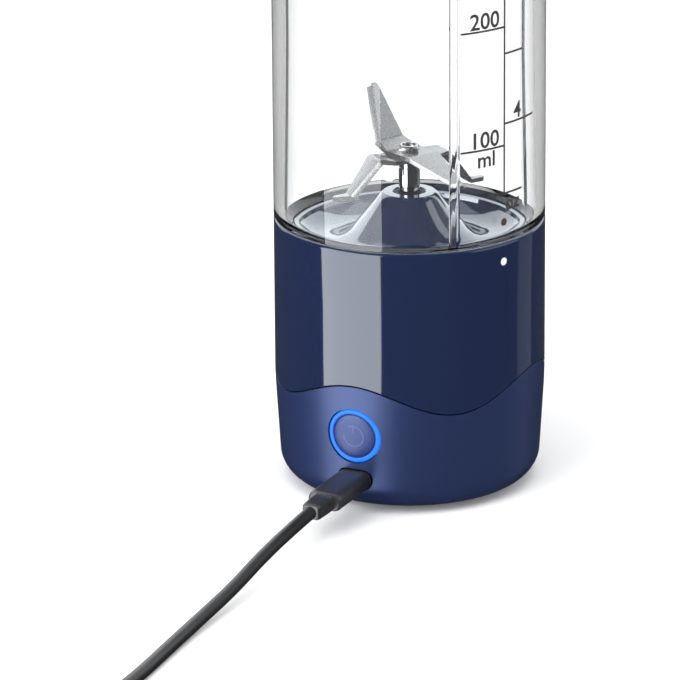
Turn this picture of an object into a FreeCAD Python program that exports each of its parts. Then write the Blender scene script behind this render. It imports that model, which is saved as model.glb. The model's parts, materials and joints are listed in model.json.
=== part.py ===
import FreeCAD, Part

import math
import os

from FreeCAD import Vector

# A cordless blender: a battery base with the motor and blades, a clear cup that
# screws into it, a drinking lid, and a charging cable. Millimetres, +Z up, origin
# on the floor under the middle of the base, power button towards -Y.

# ---- driving dimensions ----
radius = 35.0  # outside of base, cup and lid
base_height = 71.0  # floor to the joint between base and cup
shell = 2.0  # wall of the base housings
foot_gap = 0.8  # the housing hangs this far above the floor
taper_height = 28.0  # the base is straight above this
toe_radius = 33.8  # where the taper meets the rounded bottom edge
toe_height = 8.0
toe_round = 7.0
wave_height = 31.0  # mean height of the wavy joint round the base
wave_depth = 3.6
wave_count = 4
wave_gap = 0.35

cup_inner = 32.0
cup_height = 146.0  # joint line to the lid's lower edge
neck_depth = 10.0  # lower neck of the cup, inside the base
neck_outer = 31.9
neck_inner = 29.9
mouth_length = 11.5  # upper neck, inside the lid
mouth_outer = 32.6
mouth_inner = 30.9
rib_angles = (-45.0, 43.0, 124.5, 203.0)  # the four ribs inside the cup, degrees from +X
rib_width = 2.6
rib_rise = 1.1
rib_foot = 1.0  # the ribs start this far above the cup's shoulder

thread_height = 1.4
thread_pitch = 5.0
thread_gap = 0.25  # axial play between meeting threads
base_starts = 4
lid_starts = 3

motor_radius = 12.2
motor_bottom = 21.0
motor_top = 54.0
cell_radius = 9.15  # 18500 cells, 18.3 x 50
cell_length = 50.0
cell_offset = 22.4
cell_bottom = 7.4
tray_floor = 2.9
tray_top = 4.4
cover_screw_circle = 14.5
plate_screw_reach = 26.0
shaft_radius = 1.5
deck_foot = 58.2  # where the blade deck rests on the motor plate
deck_ledge = 60.0

spindle_radius = 2.7
blade_thickness = 1.1
blade_level = 86.7  # underside of the lower blade
lower_azimuth = -127.0  # degrees from +X, blades at rest
upper_azimuth = -25.0

button_height = 21.0
button_hole = 7.5
button_radius = 5.85
button_travel = 0.8
lens_outer = 7.15
lens_inner = 5.9
lamp_circle = 5.6
port_height = 9.2
plug_width = 9.4
plug_depth = 5.0
pin_width = 8.3  # steel mouth of the charging plug
pin_depth = 2.6

lid_wall = 1.2  # the lid's outer skirt
drum_radius = 27.0  # raised middle of the lid
spout_y = -12.0
spout_outer = 8.5
spout_inner = 6.5
hinge_y = 6.5  # axis of the flip cap
loop_inner = 27.9
loop_outer = 33.0

cord_radius = 1.7
coil_centre = (-17.5, -218.0)
coil_mean = 19.0
coil_top = 6.8
supply_level = 3.9  # axis of the far plug as it lies on the floor
supply_line = 2.0

clear = 0.05  # running and sliding fits, radial

# ---- heights that follow ----
cup_base = base_height + 0.15
lid_base = base_height + cup_height + 0.3
mouth_top = base_height + cup_height + mouth_length
lid_plate = mouth_top + 0.5
lid_ledge = lid_plate + 2.4
drum_top = lid_ledge + 6.6
loop_level = lid_ledge + 3.2
hinge_level = drum_top + 3.2
seam_low = wave_height - wave_depth
seam_high = wave_height + wave_depth


# ---- shape helpers ----
def turned(outline):
    """Solid of revolution about Z. A point is (r, z), or (r_mid, z_mid, r, z) for an arc."""
    edges = []
    here = Vector(outline[0][0], 0, outline[0][1])
    for point in outline[1:] + [outline[0][-2:]]:
        there = Vector(point[-2], 0, point[-1])
        if len(point) == 4:
            middle = Vector(point[0], 0, point[1])
            edges.append(Part.Arc(here, middle, there).toShape())
        elif (there - here).Length > 1e-6:
            edges.append(Part.LineSegment(here, there).toShape())
        here = there
    face = Part.Face(Part.Wire(edges))
    return face.revolve(Vector(0, 0, 0), Vector(0, 0, 1), 360)


def ring(outer, inner, low, high):
    body = Part.makeCylinder(outer, high - low, Vector(0, 0, low))
    if inner > 0:
        body = body.cut(Part.makeCylinder(inner, high - low, Vector(0, 0, low)))
    return body


def rod(r, start, end):
    way = Vector(*end) - Vector(*start)
    return Part.makeCylinder(r, way.Length, Vector(*start), way)


def block(low, high):
    return Part.makeBox(high[0] - low[0], high[1] - low[1], high[2] - low[2], Vector(*low))


def slotted(width, height, y_low, y_high, z, x=0.0):
    """A bar along Y with a section of width by height whose ends are fully round."""
    half = height / 2
    reach = width / 2 - half
    bar = block((x - reach, y_low, z - half), (x + reach, y_high, z + half))
    for side in (-reach, reach):
        bar = bar.fuse(rod(half, (x + side, y_low, z), (x + side, y_high, z)))
    return bar.removeSplitter()


def turn(shape, degrees, centre=(0, 0, 0), axis=(0, 0, 1)):
    shape = shape.copy()
    shape.rotate(Vector(*centre), Vector(*axis), degrees)
    return shape


def move(shape, x=0, y=0, z=0):
    shape = shape.copy()
    shape.translate(Vector(x, y, z))
    return shape


def group(solids):
    return Part.makeCompound(solids)


def keep(name, shape):
    shape.exportStep(f"parts/{name}.step")
    print(f"{name:24s} solids {len(shape.Solids)}  volume {shape.Volume / 1000:8.3f} cm3")


def wave_block(shift, up):
    """Everything above, or below, the wavy joint, as a ring that covers the housing wall."""
    loops = []
    steps = 96
    for r in (radius - 9, radius + 5):
        points = []
        for i in range(steps):
            angle = 2 * math.pi * i / steps
            z = wave_height + shift + wave_depth * math.cos(wave_count * (angle + math.pi / 2))
            points.append(Vector(r * math.cos(angle), r * math.sin(angle), z))
        curve = Part.BSplineCurve()
        curve.interpolate(points, PeriodicFlag=True)
        loops.append(curve.toShape())
    sheet = Part.makeRuledSurface(loops[0], loops[1])
    return sheet.extrude(Vector(0, 0, 60 if up else -60))


def thread_rib(root, tip, middle, arc, lead, start):
    """One helical rib of a coarse screw thread, with its middle at a height and angle."""
    sections = []
    steps = max(4, round(arc / 8))
    for i in range(steps + 1):
        share = i / steps - 0.5
        angle = math.radians(start + arc * share)
        z = middle + lead * arc * share / 360
        half_root = thread_height / 2
        half_tip = thread_height / 2 - 0.3
        corners = [(root, z - half_root), (tip, z - half_tip), (tip, z + half_tip), (root, z + half_root)]
        points = [Vector(r * math.cos(angle), r * math.sin(angle), h) for r, h in corners]
        sections.append(Part.makePolygon(points + points[:1]))
    return Part.makeLoft(sections, True, False)


def threads(root, tip, middle, arc, starts, offset):
    lead = thread_pitch * starts
    return [thread_rib(root, tip, middle, arc, lead, offset + 360 / starts * i) for i in range(starts)]


# ---- base housings ----
def lower_profile():
    """Full-height housing wall: rounded bottom edge, slight taper, straight top."""
    k = math.sqrt(0.5)
    low = foot_gap
    outer_mid = (toe_radius - toe_round * (1 - k), toe_height - (toe_height - low) * k)
    inner_r = toe_radius - shell
    inner_round = toe_round - 1.5
    inner_mid = (inner_r - inner_round * (1 - k), toe_height - (toe_height - low - shell) * k)
    inner_foot = inner_r - inner_round
    return turned([
        (inner_foot - 0.9, low),
        (toe_radius - toe_round, low),
        (*outer_mid, toe_radius, toe_height),
        (radius, taper_height),
        (radius, base_height - 0.9),
        (radius - 0.26, base_height - 0.26, radius - 0.9, base_height),
        (radius - shell + 0.15, base_height),
        (radius - shell + 0.15, 62.0),
        (radius - shell, 62.0),
        (radius - shell, taper_height),
        (inner_r, toe_height),
        (*inner_mid, inner_foot, low + shell),
        (inner_foot - 0.9, low + shell),
    ])


def make_housings():
    wall = lower_profile()
    lower = wall.common(wave_block(-wave_gap / 2, False))
    upper = wall.common(wave_block(wave_gap / 2, True))
    button_bore = rod(button_hole, (0, -radius - 3, button_height), (0, -28, button_height))
    port = slotted(10.0, 5.6, -radius - 3, -27.0, port_height)
    lower = lower.cut(button_bore).cut(port)
    lugs = threads(radius - shell + 0.5, neck_outer + 0.15, base_lug_level(), 30, base_starts, 45)
    upper = upper.fuse(lugs)
    keep("lower_housing", lower)
    keep("upper_housing", upper)


def base_lug_level():
    return cup_rib_level() + thread_height + thread_gap


def cup_rib_level():
    return cup_base - neck_depth + 3.5


def cover_screw_places():
    turns = (math.pi / 2, math.pi * 7 / 6, math.pi * 11 / 6)
    return [(cover_screw_circle * math.cos(a), cover_screw_circle * math.sin(a)) for a in turns]


def make_bottom():
    edge = toe_radius - shell - toe_round + 1.5 - 0.9 - 0.1
    cover = ring(edge, 0, foot_gap + 0.1, foot_gap + shell)
    groove = ring(24.1, 20.4, foot_gap, 1.6)
    cover = cover.cut(groove)
    screws = []
    for x, y in cover_screw_places():
        cover = cover.cut(rod(2.4, (x, y, 0.5), (x, y, 1.9))).cut(rod(1.3, (x, y, 1.0), (x, y, 4.0)))
        screw = rod(2.2, (x, y, 1.0), (x, y, 1.9)).fuse(rod(1.2, (x, y, 1.9), (x, y, 9.0)))
        slot_a = block((x - 1.3, y - 0.25, 0.9), (x + 1.3, y + 0.25, 1.4))
        slot_b = block((x - 0.25, y - 1.3, 0.9), (x + 0.25, y + 1.3, 1.4))
        screws.append(screw.cut(slot_a).cut(slot_b))
    keep("bottom_cover", cover)
    keep("cover_screws", group(screws))
    keep("foot_ring", ring(24.0, 20.5, 0, 1.6))


def make_frame():
    """Sleeve that backs the wavy joint, and the tray that holds the cells and the motor."""
    outer = radius - shell - 0.1
    low, high = seam_low - 2.6, seam_high + 3.4
    narrow = outer - 0.3
    sleeve = turned([
        (outer - 1.3, low), (narrow, low), (outer, taper_height), (outer, high), (outer - 1.3, high)])
    sleeve = sleeve.cut(rod(8.8, (0, -radius, button_height), (0, -20, button_height)))
    keep("seam_sleeve", sleeve)

    tray = ring(26.0, 0, tray_floor, tray_top)
    for side in (-1, 1):
        cup = ring(cell_radius + 1.2, cell_radius + 0.15, tray_top, 13.0)
        tray = tray.fuse(move(cup, side * cell_offset))
    limit = ring(29.8, 0, tray_floor, 13.0)
    tray = tray.common(limit)
    tray = tray.fuse(ring(motor_radius + 0.6, motor_radius - 1.0, tray_top, 17.5))
    pocket = ring(cell_radius + 0.15, 0, tray_top, 13.2)
    tray = tray.cut(group([move(pocket, s * cell_offset) for s in (-1, 1)]))
    for x, y in cover_screw_places():
        tray = tray.fuse(rod(2.4, (x, y, tray_floor), (x, y, 10.0)).cut(rod(1.25, (x, y, 2.0), (x, y, 10.5))))
        tray = tray.cut(rod(1.25, (x, y, 2.0), (x, y, 10.5)))
    tray = tray.cut(block((-10, -30, tray_top), (10, -12.0, 18)))
    keep("battery_tray", tray)


def make_cells():
    cells = []
    tabs = []
    for side in (-1, 1):
        x = side * cell_offset
        body = ring(cell_radius, 0, cell_bottom, cell_bottom + cell_length - 1.2)
        body = body.fuse(ring(3.2, 0, cell_bottom + cell_length - 1.2, cell_bottom + cell_length))
        cells.append(move(body, x))
        tabs.append(block((x - 2.5, -4, cell_bottom - 0.4), (x + 2.5, 4, cell_bottom)))
    high = cell_bottom + cell_length
    for side in (-1, 1):
        x = side * cell_offset
        tabs.append(block((x - 3.5, -2.5, high), (x + 3.5, 13.5, high + 0.3)))
    keep("battery_cells", group(cells))
    keep("battery_tabs", group(tabs))


# ---- blade deck ----
def make_deck():
    lip = neck_inner - 0.3
    top = base_height - 0.7
    floor = base_height - 5.6
    boss = base_height + 7.4
    deck = turned([
        (5.2, deck_ledge),
        (12.0, deck_ledge),
        (12.0, floor - 2.6),
        (26.5, floor - 2.6),
        (27.6, deck_ledge),
        (27.6, deck_foot),
        (radius - shell - 0.1, deck_foot),
        (radius - shell - 0.1, 60.2),
        (lip, 60.2),
        (lip, top - 0.4),
        (lip - 0.12, top - 0.12, lip - 0.4, top),
        (lip - 1.2, top - 0.2),
        (25.6, floor + 0.9, 20.8, floor),
        (18.2, floor + 0.35, 16.0, floor + 1.6),
        (11.0, floor + 6.4, 7.6, boss - 0.9),
        (7.2, boss - 0.15, 6.6, boss),
        (4.2, boss),
        (4.2, 76.3),
        (5.2, 76.3),
    ])
    keep("blade_deck", deck)
    bush = ring(5.1, spindle_radius + clear, 62.0, 72.0)
    keep("spindle_bush", bush)
    lip_seal = turned([
        (spindle_radius + clear, boss - 1.4),
        (spindle_radius + clear, boss - 0.9),
        (3.2, boss - 0.3),
        (4.1, boss - 0.3),
        (4.1, 76.3),
        (5.1, 76.3),
        (5.1, 72.2),
        (3.4, 72.2),
        (3.4, 76.6),
    ])
    keep("spindle_seal", lip_seal)


def make_motor():
    can = turned([
        (4.6, motor_top - 1.2),
        (motor_radius - 1.0, motor_top - 1.2),
        (motor_radius - 1.0, motor_bottom),
        (motor_radius, motor_bottom),
        (motor_radius, motor_top - 1.0),
        (motor_radius - 0.3, motor_top - 0.3, motor_radius - 1.0, motor_top),
        (5.0, motor_top),
        (5.0, motor_top + 2.0),
        (3.6, motor_top + 2.0),
        (3.6, motor_top - 1.2),
    ])
    keep("motor_can", can)
    gap = block((-2.5, -20, 0), (2.5, 20, 80))
    magnet = ring(motor_radius - 1.05, 8.6, 26.0, 48.0).cut(gap)
    keep("motor_magnets", group(magnet.Solids))
    cap = turned([
        (3.6, 17.6),
        (5.0, 17.6),
        (5.0, 19.0),
        (motor_radius - 1.05, 19.0),
        (motor_radius - 1.05, 22.6),
        (motor_radius - 2.0, 22.6),
        (motor_radius - 2.0, 20.4),
        (3.6, 20.4),
    ])
    keep("motor_end_cap", cap)
    brushes = [block((x, -1.0, 23.0), (x + 3.6, 1.0, 25.4)) for x in (4.05, -7.65)]
    arms = [block((x, -0.8, 20.4), (x + 0.6, 0.8, 23.0)) for x in (6.4, -7.0)]
    keep("motor_brushes", group([b.fuse(a) for b, a in zip(brushes, arms)]))
    bore = shaft_radius + clear
    bushes = [ring(3.55, bore, 17.7, 20.3), ring(3.55, bore, motor_top - 1.1, motor_top + 1.9)]
    keep("motor_bushes", group(bushes))

    plate = ring(30.8, 5.1, motor_top + 0.1, motor_top + 2.2)
    for side in (-1, 1):
        plate = plate.cut(move(ring(cell_radius + 0.3, 0, 50, 60), side * cell_offset))
    plate = plate.fuse(ring(motor_radius + 1.4, motor_radius + 0.2, 48.0, motor_top + 2.2).cut(
        group([move(ring(cell_radius + 0.3, 0, 40, 60), s * cell_offset) for s in (-1, 1)])))
    screw_places = [(0, plate_screw_reach), (0, -plate_screw_reach)]
    screws = []
    for x, y in screw_places:
        plate = plate.fuse(ring(2.6, 0, motor_top + 2.2, deck_foot - 0.1).translated(Vector(x, y, 0)))
        plate = plate.cut(rod(1.1, (x, y, 50), (x, y, 59)))
        screws.append(rod(2.0, (x, y, motor_top - 1.3), (x, y, motor_top)).fuse(
            rod(1.05, (x, y, motor_top), (x, y, deck_foot - 0.2))))
    for x in (-8.0, 8.0):
        plate = plate.cut(rod(1.1, (x, 0, 50), (x, 0, 59)))
        screws.append(rod(1.9, (x, 0, motor_top + 2.2), (x, 0, motor_top + 3.4)).fuse(
            rod(1.05, (x, 0, motor_top + 0.05), (x, 0, motor_top + 2.2))))
    keep("motor_plate", plate)
    keep("plate_screws", group(screws))


def make_rotor():
    shaft = rod(shaft_radius, (0, 0, 16.8), (0, 0, 66.0))
    keep("motor_shaft", shaft)
    core = ring(8.2, shaft_radius, 29.0, 45.0)
    for i in range(3):
        slot = block((2.6, -0.9, 20), (9, 0.9, 50)).fuse(ring(7.0, 3.4, 20, 50).common(
            block((0, -2.1, 20), (9, 2.1, 50))))
        core = core.cut(turn(slot, 120 * i + 60))
    keep("armature_core", core)
    coils = []
    for i in range(3):
        coil = ring(6.6, 2.8, 45.0, 47.6).common(block((3.0, -3.0, 40), (9, 3.0, 50)))
        coils.append(turn(coil, 120 * i))
        low = ring(6.6, 2.8, 26.6, 29.0).common(block((3.0, -3.0, 20), (9, 3.0, 30)))
        coils.append(turn(low, 120 * i))
    keep("armature_windings", group(coils))
    keep("commutator", ring(3.9, shaft_radius, 22.6, 26.4))

    top = blade_level
    stack = 2 * blade_thickness
    spindle = turned([
        (shaft_radius, 58.6),
        (4.0, 58.6),
        (4.0, 60.6),
        (spindle_radius, 60.6),
        (spindle_radius, top),
        (1.8, top),
        (1.8, top + stack + 0.9),
        (0, top + stack + 0.9),
        (0, 66.0),
        (shaft_radius, 66.0),
    ])
    keep("drive_spindle", spindle)
    nut = block((-2.3, -2.3, top + stack), (2.3, 2.3, top + stack + 1.4))
    nut = nut.common(turned([
        (0, top + stack - 1), (3.4, top + stack - 1), (3.4, top + stack + 0.7),
        (2.3, top + stack + 1.4), (0, top + stack + 1.4)]))
    nut = turn(nut.cut(ring(1.8, 0, top + stack - 1, top + stack + 0.9)), 20)
    keep("blade_nut", nut)


# ---- blades ----
def strip(outline):
    """A flat piece of blade in its own plane, mid-thickness at z = 0."""
    points = [Vector(x, y, -blade_thickness / 2) for x, y in outline]
    return Part.Face(Part.makePolygon(points + points[:1])).extrude(Vector(0, 0, blade_thickness))


def arm(start, folds):
    """Strips joined end to end from x = start: (length, half width at its start and end, slope)."""
    x, z = start, 0.0
    solids = []
    for length, half_start, half_end, slope in folds:
        flat = strip([(0, -half_start), (length, -half_end), (length, half_end), (0, half_start)])
        solids.append(move(turn(flat, -slope, axis=(0, 1, 0)), x, 0, z))
        x += length * math.cos(math.radians(slope))
        z += length * math.sin(math.radians(slope))
        solids.append(rod(blade_thickness / 2, (x, -half_end, z), (x, half_end, z)))
    return solids


def blade(first, second, half, level, azimuth):
    """Two folded arms on a flat centre with the spindle's hole in it."""
    centre = strip([(-second[0], -half), (first[0], -half), (first[0], half), (-second[0], half)])
    body = centre.fuse(arm(*first)).fuse([turn(solid, 180) for solid in arm(*second)])
    body = body.cut(ring(1.8 + clear, 0, -3, 3)).removeSplitter()
    return turn(move(body, z=level + blade_thickness / 2), azimuth)


def make_blades():
    gull = (5.8, [(3.8, 4.2, 3.6, 9), (11.6, 3.6, 1.9, -50), (4.4, 1.9, 1.3, 0)])
    keep("lower_blade", blade(gull, gull, 4.3, blade_level, lower_azimuth))
    low_arm = (5.6, [(15.8, 4.9, 1.5, -17.3)])
    high_arm = (3.2, [(5.2, 4.9, 4.5, 16), (14.0, 4.5, 1.4, 62)])
    keep("upper_blade", blade(low_arm, high_arm, 4.9, blade_level + blade_thickness, upper_azimuth))


# ---- electronics ----
def make_boards():
    main = block((-15, 24.0, 14.0), (15, 25.2, 48.0))
    keep("main_board", main)
    parts = [
        block((-9, 22.2, 30), (-3, 24.0, 36)),
        block((3, 22.6, 22), (7, 24.0, 27)),
        block((-12, 22.4, 18), (-7, 24.0, 22)),
        rod(3.1, (9.0, 20.6, 38.0), (9.0, 20.6, 46.0)),
        block((-13, 21.8, 40), (-5, 24.0, 46)),
        block((8, 21.0, 28), (13, 24.0, 34)),
    ]
    keep("board_parts", group(parts))
    charge = block((-8.5, -29.6, 5.9), (8.5, -15.0, 7.1))
    keep("charge_board", charge)
    outer = slotted(9.3, 3.6, -33.2, -25.4, port_height)
    inner = slotted(8.7, 3.0, -34.0, -26.0, port_height)
    legs = [block((x, -29.5, 7.1), (x + 0.5, -28.2, port_height - 0.9)) for x in (-4.4, 3.9)]
    socket = outer.fuse(legs).cut(inner)
    keep("charging_socket", socket)
    keep("socket_tongue", block((-3.2, -31.6, port_height - 0.35), (3.2, -26.0, port_height + 0.35)))


def make_button():
    y = -radius
    lens = rod(lens_outer, (0, y - 0.1, button_height), (0, y + 4.2, button_height))
    lens = lens.cut(rod(lens_inner, (0, y - 1, button_height), (0, y + 5, button_height)))
    keep("light_ring", lens)
    guide = rod(8.3, (0, y + 4.2, button_height), (0, y + 7.6, button_height))
    guide = guide.cut(rod(6.6, (0, y + 3, button_height), (0, y + 9, button_height)))
    guide = guide.cut(block((-9, y + 3, 10), (9, y + 9, button_height - 7.0)))
    keep("button_guide", guide)
    board = rod(8.3, (0, y + 7.6, button_height), (0, y + 8.8, button_height))
    keep("button_board", board.cut(block((-9, y + 7, 10), (9, y + 9, button_height - 7.0))))
    lamps = []
    for i in range(6):
        angle = math.radians(60 * i + 30)
        x, z = lamp_circle * math.cos(angle), button_height + lamp_circle * math.sin(angle)
        lamps.append(block((x - 0.8, y + 6.7, z - 0.5), (x + 0.8, y + 7.6, z + 0.5)))
    keep("ring_lamps", group(lamps))
    switch = block((-3, y + 5.0, button_height - 3), (3, y + 7.6, button_height + 3))
    keep("tact_switch", switch)
    face = rod(button_radius, (0, y + 0.05, button_height), (0, y + 1.9, button_height))
    edge = [e for e in face.Edges if abs(e.BoundBox.YMax - (y + 0.05)) < 1e-3 and e.BoundBox.ZLength > 5]
    face = face.makeFillet(0.3, edge[:1])
    stem = rod(1.6, (0, y + 1.9, button_height), (0, y + 5.0 - button_travel - 0.1, button_height))
    skirt = rod(button_radius, (0, y + 1.9, button_height), (0, y + 2.9, button_height)).cut(
        rod(4.9, (0, y + 1.5, button_height), (0, y + 3.5, button_height)))
    keep("power_button", face.fuse(stem).fuse(skirt).removeSplitter())


# ---- cup ----
def make_cup():
    low = cup_base - neck_depth
    high = base_height + cup_height
    rim = mouth_top
    body = turned([
        (neck_inner + 0.3, low),
        (neck_outer - 0.3, low),
        (neck_outer, low + 0.3),
        (neck_outer, cup_base),
        (radius - 0.5, cup_base),
        (radius - 0.15, cup_base + 0.15, radius, cup_base + 0.5),
        (radius, high - 0.8),
        (radius - 0.23, high - 0.23, radius - 0.8, high),
        (mouth_outer, high),
        (mouth_outer, rim - 0.4),
        (mouth_outer - 0.12, rim - 0.12, mouth_outer - 0.4, rim),
        (mouth_inner + 0.4, rim),
        (mouth_inner + 0.12, rim - 0.12, mouth_inner, rim - 0.4),
        (mouth_inner, high - 1.0),
        (cup_inner, high - 6.0),
        (cup_inner, cup_base + 5.0),
        (cup_inner - 0.4, cup_base + 2.2, neck_inner, cup_base - 1.0),
        (neck_inner, low + 0.3),
    ])
    rib = block((cup_inner - rib_rise, -rib_width / 2, cup_base + rib_foot),
                (cup_inner + 1.0, rib_width / 2, high - 7.0))
    body = body.fuse([turn(rib, a) for a in rib_angles])
    body = body.fuse(threads(neck_outer - 0.4, radius - shell - 0.15, cup_rib_level(), 50, base_starts, 45))
    body = body.fuse(threads(mouth_outer - 0.4, mouth_outer + 1.0, mouth_rib_level(), 60, lid_starts, 90))
    keep("cup", body)
    keep("cup_seal", turned([
        (neck_inner + 0.1, low - 0.75),
        (neck_outer - 0.1, low - 0.75),
        (neck_outer - 0.1, low - 0.05),
        (neck_inner + 0.1, low - 0.05),
    ]))


def mouth_rib_level():
    return mouth_top - 4.6


# ---- lid ----
def make_lid():
    skirt_inner = radius - lid_wall
    drum = drum_radius
    lid = turned([
        (skirt_inner, lid_base),
        (radius - 0.4, lid_base),
        (radius, lid_base + 0.4),
        (radius, lid_ledge - 1.6),
        (radius - 0.47, lid_ledge - 0.47, radius - 1.6, lid_ledge),
        (drum + 0.6, lid_ledge),
        (drum + 0.18, lid_ledge + 0.18, drum, lid_ledge + 0.6),
        (drum, drum_top - 2.0),
        (drum - 0.6, drum_top - 0.6, drum - 2.0, drum_top),
        (0, drum_top),
        (0, drum_top - 2.0),
        (drum - 2.6, drum_top - 2.0),
        (drum - 2.0, drum_top - 2.6),
        (drum - 2.0, lid_plate),
        (29.6, lid_plate),
        (29.6, lid_plate + 1.0),
        (33.2, lid_plate + 1.0),
        (33.2, lid_plate),
        (skirt_inner, lid_plate),
    ])
    lug_level = mouth_rib_level() - thread_height - thread_gap
    lugs = threads(skirt_inner + 0.4, mouth_outer + 0.15, lug_level, 40, lid_starts, 90)
    lid = lid.fuse(lugs)
    spout = rod(spout_outer, (0, spout_y, drum_top - 1.0), (0, spout_y, drum_top + 6.0))
    lid = lid.fuse(spout).cut(rod(spout_inner, (0, spout_y, drum_top - 5), (0, spout_y, drum_top + 9)))
    for side in (-1, 1):
        ear = rod(2.3, (side * 5.3, hinge_y, hinge_level), (side * 8.0, hinge_y, hinge_level))
        foot = block((min(side * 5.3, side * 8.0), hinge_y - 2.3, drum_top - 1.0),
                     (max(side * 5.3, side * 8.0), hinge_y + 2.3, hinge_level))
        lid = lid.fuse(ear).fuse(foot)
    lid = lid.cut(rod(1.2, (-9, hinge_y, hinge_level), (9, hinge_y, hinge_level)))
    for side in (-1, 1):
        boss = rod(2.6, (side * 22.0, 0, loop_level), (side * (drum + 0.4), 0, loop_level))
        lid = lid.fuse(boss).cut(rod(1.5, (side * 21.0, 0, loop_level), (side * 34.0, 0, loop_level)))
    keep("lid", lid.removeSplitter())
    keep("lid_seal", ring(33.1, 29.7, lid_plate - 0.45, lid_plate + 0.95))
    pins = []
    for side in (-1, 1):
        pin = rod(1.45, (side * 22.4, 0, loop_level), (side * 33.0, 0, loop_level))
        pins.append(pin.fuse(rod(2.2, (side * 33.0, 0, loop_level), (side * 33.9, 0, loop_level))))
    keep("loop_pins", group(pins))
    pin = rod(1.15, (-7.9, hinge_y, hinge_level), (7.9, hinge_y, hinge_level))
    keep("cap_pin", pin)


def make_flip_cap():
    top = drum_top + 6.5
    cap = rod(10.3, (0, spout_y, drum_top + 1.2), (0, spout_y, top + 1.9))
    cap = cap.cut(rod(8.8, (0, spout_y, drum_top), (0, spout_y, top)))
    rim = [e for e in cap.Edges if e.BoundBox.ZMin > top + 1.8 and e.BoundBox.XLength > 15]
    cap = cap.makeFillet(1.2, rim[:1])
    thumb = block((-4.5, spout_y - 12.6, top - 1.2), (4.5, spout_y - 9.0, top + 0.6))
    thumb = thumb.cut(rod(8.8, (0, spout_y, drum_top), (0, spout_y, top)))
    arm = block((-4.9, spout_y + 9.2, hinge_level - 0.5), (4.9, hinge_y, hinge_level + 2.3))
    barrel = rod(2.3, (-5.0, hinge_y, hinge_level), (5.0, hinge_y, hinge_level))
    cap = cap.fuse(thumb).fuse(arm).fuse(barrel)
    cap = cap.cut(rod(1.2, (-6, hinge_y, hinge_level), (6, hinge_y, hinge_level)))
    keep("flip_cap", cap.removeSplitter())
    plug = Part.makeCone(5.5, 6.15, 4.6, Vector(0, spout_y, top - 4.6))
    keep("cap_plug", plug)


def make_loop():
    low, high = loop_level - 2.6, loop_level + 2.6
    loop = ring(loop_outer, loop_inner, low, high).cut(block((-40, -40, low - 1), (40, 0, high + 1)))
    for side in (-1, 1):
        loop = loop.fuse(rod(2.9, (side * loop_inner, 0, loop_level), (side * (loop_outer - 0.3), 0, loop_level)))
    loop = loop.cut(rod(1.5, (-40, 0, loop_level), (40, 0, loop_level)))
    keep("carry_loop", loop.removeSplitter())


# ---- charging cable ----
def route():
    """Corners of the cable's path from its collar to the coil, by hand."""
    return [
        (0.0, -60.0, 9.0), (-0.1, -71.0, 8.3), (-0.5, -87.0, 6.4), (-0.2, -104.0, 4.0),
        (-0.6, -121.0, 2.3), (0.2, -139.0, 1.75), (1.7, -158.0, 1.72), (2.0, -176.0, 1.74),
        (3.6, -194.0, 1.72), (3.2, -212.0, 1.74),
    ]


def rounded_path(points):
    """Straight runs joined by tangent arcs, each as large as its two runs allow."""
    corners = [Vector(*p) for p in points]
    edges = []
    radii = []
    here = corners[0]
    for before, at, after in zip(corners, corners[1:], corners[2:]):
        back = (before - at).normalize()
        on = (after - at).normalize()
        turn_angle = math.pi - back.getAngle(on)
        reach = 0.45 * min((before - at).Length, (after - at).Length)
        bend = reach / math.tan(turn_angle / 2)
        radii.append(bend)
        start, end = at + back * reach, at + on * reach
        inward = (back + on).normalize()
        middle = at + inward * (bend / math.cos(turn_angle / 2) - bend)
        edges.append(Part.LineSegment(here, start).toShape())
        edges.append(Part.Arc(start, middle, end).toShape())
        here = end
    edges.append(Part.LineSegment(here, corners[-1]).toShape())
    return Part.Wire(edges), radii


def tube(points):
    path, radii = rounded_path(points)
    first = path.Edges[0]
    section = Part.Wire(Part.makeCircle(cord_radius, first.Vertexes[0].Point, first.tangentAt(0)))
    body = path.makePipeShell([section], True, True)
    print("cord radii mm", [round(r) for r in radii])
    print(f"cord run {path.Length:.1f} mm, volume ratio "
          f"{body.Volume / (math.pi * cord_radius ** 2 * path.Length):.4f}")
    return body


def make_charging_plug():
    z = port_height
    pin = slotted(pin_width, pin_depth, -37.2, -28.9, z)
    keep("cable_plug_shell", pin.cut(slotted(pin_width - 0.8, pin_depth - 0.8, -36.0, -28.0, z)))
    body = slotted(plug_width, plug_depth, -52.0, -33.4, z)
    keep("cable_plug", body.cut(slotted(pin_width, pin_depth, -37.2, -30.0, z)))
    keep("cable_collar", Part.makeCone(2.5, 2.2, 8.0, Vector(0, -52.0, 9.0), Vector(0, -1, 0)))


def make_cable():
    keep("charging_cable", tube(route()))
    cx, cy = coil_centre
    half = 2 * cord_radius
    coil = turned([
        (coil_mean - half, 0.9), (coil_mean - half + 0.9, 0.0),
        (coil_mean + half - 0.9, 0.0), (coil_mean + half, 0.9),
        (coil_mean + half, coil_top - 2.0), (coil_mean + 1.6, coil_top),
        (coil_mean - 1.6, coil_top), (coil_mean - half, coil_top - 2.0)])
    keep("cable_coil", move(coil, cx, cy))
    tail_start = (supply_line, cy - 8.0, supply_level)
    tail_end = (supply_line, cy - 16.0, supply_level)
    keep("cable_tail", rod(cord_radius, tail_start, tail_end))


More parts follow.
